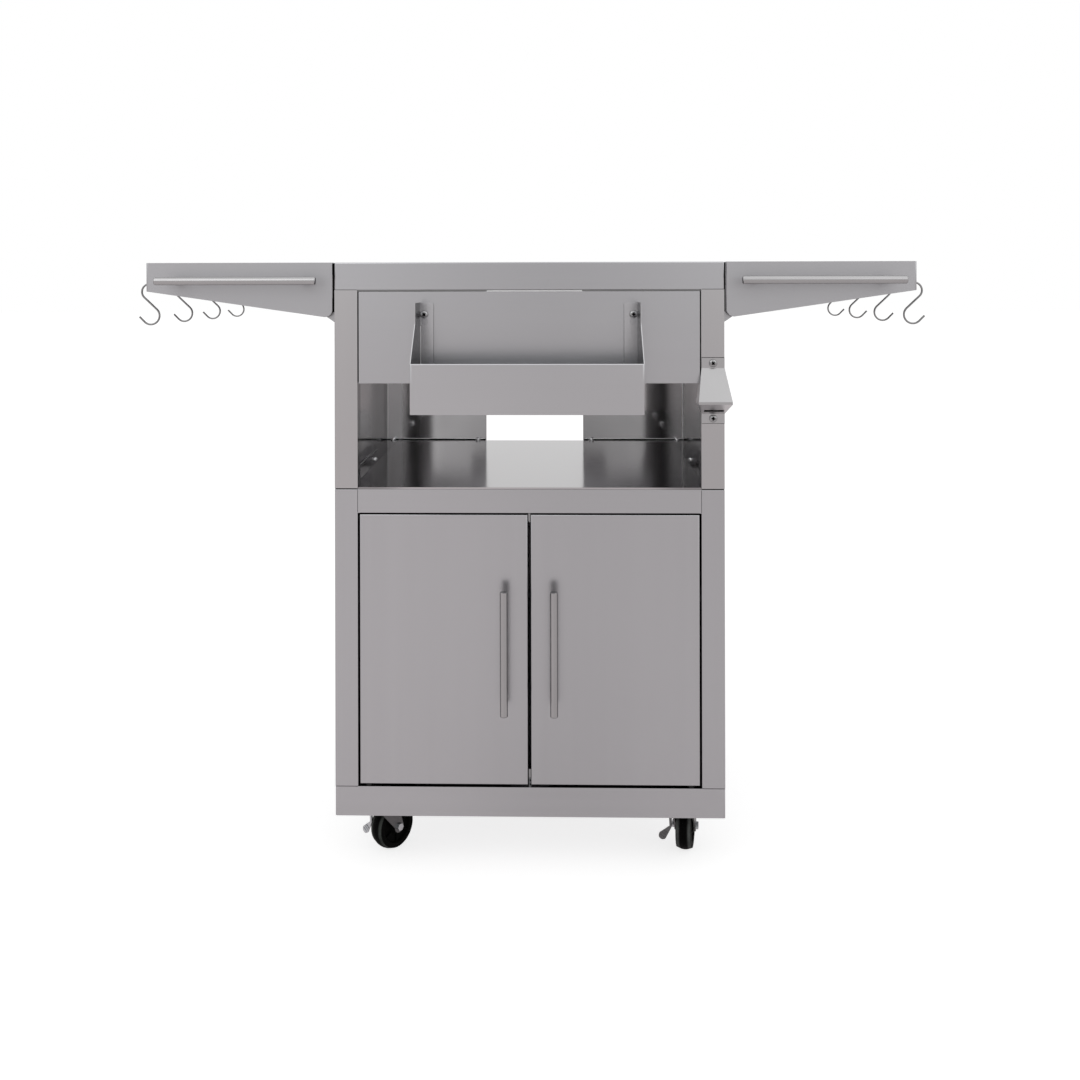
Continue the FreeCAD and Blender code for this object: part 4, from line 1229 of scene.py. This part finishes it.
@dataclass
class Studio:
    """White floor and surroundings, two soft lamps and the camera."""

    eye: Place = (0.0387, -2.1796, 0.9128)
    yaw: float = 1.376
    roll: float = 0.125
    lens: float = 41.45
    sensor: float = 36.0
    shift: Span = (0.0153, -0.2354)
    floor_half: float = 40.0
    floor_grey: float = 0.5
    floor_glow: float = 0.77
    floor_sheen: float = 0.44
    floor_tint: Colour = (1.0, 0.91, 0.915)
    shade_level: float = 1.05
    shade_reach: Span = (-0.5, 0.5)
    shade_drop: float = 0.15
    middle_x: float = 0.05
    middle_half: float = 0.25
    middle_drop: float = 0.15
    ambient: float = 0.6
    room_level: float = 1.05
    room_tilt: float = 0.05
    stand_half: float = 0.19
    stand_drop: float = 0.52
    side_reach: Span = (0.15, 0.27)
    side_drop: float = 0.11
    ceiling_reach: Span = (0.25, 0.75)
    ceiling_rise: float = 0.3
    lamp_aim: Place = (0.0, 0.0, 0.5)
    lamp_size: float = 1.8
    key_place: Place = (-1.6, -2.4, 2.6)
    key_power: float = 9.0
    fill_place: Place = (1.8, -1.8, 2.0)
    fill_power: float = 4.0

    def seen(self, graph: Graph) -> Sock:
        """One where the ray comes from the camera, a shiny surface or through glass."""
        path = graph.node("ShaderNodeLightPath")
        direct = graph.out(path, "Is Camera Ray").larger(graph.out(path, "Is Glossy Ray"))
        return direct.larger(graph.out(path, "Is Transmission Ray"))

    def build_world(self) -> None:
        """White surroundings with a soft dark stand behind the camera for shiny faces."""
        world = bpy.data.worlds.new("studio")
        bpy.context.scene.world = world
        world.use_nodes = True
        graph = Graph(world.node_tree)
        x, y, z = graph.axes(graph.out(graph.node("ShaderNodeTexCoord"), "Generated"))
        camera = graph.out(graph.node("ShaderNodeLightPath"), "Is Camera Ray")
        stand = (1.0 - graph.ease(abs(x), 0.0, self.stand_half)) * (y < 0.0)
        sides = graph.ease(abs(x), *self.side_reach) * self.side_drop
        room = self.room_level + x * self.room_tilt - stand * self.stand_drop - sides
        room = room + graph.ease(z, *self.ceiling_reach) * self.ceiling_rise
        shown = camera + (1.0 - camera) * room
        strength = self.ambient + self.seen(graph) * (shown - self.ambient)
        light = graph.node("ShaderNodeBackground", inputs={"Color": (1, 1, 1, 1), "Strength": strength})
        graph.node("ShaderNodeOutputWorld", inputs={"Surface": graph.out(light)})

    def build_floor(self) -> None:
        """White floor that keeps a pale shadow; its glow seen in reflections carries painted shade, darker
        towards +x and in a band around the middle.
        """
        bpy.ops.mesh.primitive_plane_add(size=2 * self.floor_half, location=(0, 0, 0))
        floor = bpy.context.active_object
        floor.name = "studio_floor"
        material = bpy.data.materials.new("studio_floor")
        material.use_nodes = True
        graph = Graph(material.node_tree)
        x = graph.axes(graph.out(graph.node("ShaderNodeTexCoord"), "Object"))[0]
        camera = graph.out(graph.node("ShaderNodeLightPath"), "Is Camera Ray")
        # Painted shade in the glow that shiny faces see: darker towards +x and in a band around the middle
        middle = 1.0 - graph.ease(abs(x - self.middle_x), 0.0, self.middle_half)
        shade = self.shade_level - graph.ease(x, *self.shade_reach) * self.shade_drop
        shade = shade - middle * self.middle_drop
        grey = (self.floor_grey, self.floor_grey, self.floor_grey, 1)
        matt = graph.node("ShaderNodeBsdfDiffuse", inputs={"Color": grey})
        plain = graph.node("ShaderNodeEmission", inputs={"Strength": camera * self.floor_glow})
        painted_sheen = (self.seen(graph) - camera) * shade * self.floor_sheen
        warm = graph.node("ShaderNodeEmission", inputs={"Color": (*self.floor_tint, 1), "Strength": painted_sheen})
        glow = graph.node("ShaderNodeAddShader", inputs={0: graph.out(plain), 1: graph.out(warm)})
        both = graph.node("ShaderNodeAddShader", inputs={0: graph.out(matt), 1: graph.out(glow)})
        graph.node("ShaderNodeOutputMaterial", inputs={"Surface": graph.out(both)})
        floor.data.materials.append(material)

    def add_lamp(self, name: str, place: Place, power: float) -> None:
        """Adds a soft square lamp.

        Args:
            name: name of the lamp.
            place: where it hangs.
            power: watts.
        """
        data = bpy.data.lights.new(name, "AREA")
        data.energy = power
        data.size = self.lamp_size
        lamp = bpy.data.objects.new(name, data)
        lamp.location = place
        lamp.rotation_euler = (Vector(self.lamp_aim) - Vector(place)).to_track_quat("-Z", "Y").to_euler()
        bpy.context.scene.collection.objects.link(lamp)

    def build_camera(self) -> None:
        """Camera at the height and distance read from the photograph."""
        data = bpy.data.cameras.new("camera")
        data.lens = self.lens
        data.sensor_width = self.sensor
        data.shift_x, data.shift_y = self.shift
        camera = bpy.data.objects.new("camera", data)
        camera.location = self.eye
        camera.rotation_euler = (math.pi / 2, math.radians(self.roll), math.radians(self.yaw))
        bpy.context.scene.collection.objects.link(camera)
        bpy.context.scene.camera = camera

    def build(self) -> None:
        """Builds the whole studio."""
        self.build_world()
        self.build_floor()
        self.add_lamp("key", self.key_place, self.key_power)
        self.add_lamp("fill", self.fill_place, self.fill_power)
        self.build_camera()
        view = bpy.context.scene.view_settings
        view.view_transform = "Standard"
        view.look = "None"


def names_for(pattern: str, fills: tuple[str, ...] = SIDES) -> list[str]:
    """Node names from a pattern with one gap."""
    return [pattern.format(fill) for fill in fills]


def sheet_work() -> list[SheetWork]:
    """CAD nodes by finish.

    Returns:
        The groups of nodes.
    """
    edge = 0.7 * MM
    tray_edge = 0.35 * MM
    cast_edge = 0.8 * MM
    doors = [*names_for("{}_cabinet_side"), *names_for("{}_door_skin")]
    inner = [*names_for("{}_door_liner"), *names_for("{}_base_channel"), *names_for("{}_shelf_brackets")]
    hooks = [f"{side}_hook_{number}" for side in SIDES for number in (1, 2, 3, 4)]
    return [
        SheetWork(LEVEL_STEEL, ["base_pan", "front_rail", "upper_front_panel", "top_frame"], edge),
        SheetWork(SHELF_STEEL, names_for("{}_shelf"), edge),
        SheetWork(UPRIGHT_STEEL, ["cabinet_back", *doors], edge),
        SheetWork(WALL_STEEL, names_for("{}_upper_side"), edge),
        SheetWork(TRAY_STEEL, ["front_tray"], tray_edge),
        SheetWork(LEFT_REAR_STEEL, ["left_rear_panel"], edge),
        SheetWork(RIGHT_REAR_STEEL, ["right_rear_panel"], edge),
        SheetWork(LINER_STEEL, inner),
        SheetWork(DECK_STEEL, ["kamado_deck"]),
        SheetWork(BAR_STEEL, names_for("{}_door_handle")),
        SheetWork(TOWEL_STEEL, names_for("{}_towel_bar")),
        SheetWork(SCREW_STEEL, ["deck_screws", "tray_screws", "opener_screws"]),
        SheetWork(SCREW_STEEL, ["upper_door_catch", "lower_door_catch"]),
        SheetWork(PIN_STEEL, ["door_hinge_pins", "shelf_hinge_pins"]),
        SheetWork(CAST_METAL, ["bottle_opener"], cast_edge),
        SheetWork(HOOK_STEEL, hooks),
        SheetWork(SHADED_FORK_ZINC, ["caster_plates", "caster_bolts", *names_for("{}_fork", CASTERS)]),
        SheetWork(LIT_ZINC, [*names_for("{}_axle", CASTERS), "front_left_brake_lever"]),
        SheetWork(SHADED_ZINC, ["front_right_brake_lever"]),
        SheetWork(TYRE, ["rear_left_wheel", "rear_right_wheel"]),
        SheetWork(LEFT_TYRE, ["front_left_wheel"]),
        SheetWork(RIGHT_TYRE, ["front_right_wheel"]),
    ]


def main() -> None:
    """Dresses the frame, adds the hardware and sets the studio."""
    logging.basicConfig(level=logging.INFO, format="%(message)s")
    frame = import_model()
    palette = Palette()
    for group in sheet_work():
        group.dress(frame["nodes"], palette)

    hardware: list[Piece] = [BayTrim(), TrayTrim(), OpenerTrim(), DoorTrim(), FrontTrim(), ShelfTrim()]
    # Left pedal lighter and right pedal darker: painted light and shade
    pedals = {"front_left": LIT_ZINC, "front_right": SHADED_ZINC}
    for name in CASTERS:
        hardware.append(CasterTrim(name, SPOTS[name], pedals.get(name)))
    for group in hardware:
        group.build(palette)

    Studio().build()


if __name__ == "__main__":
    main()
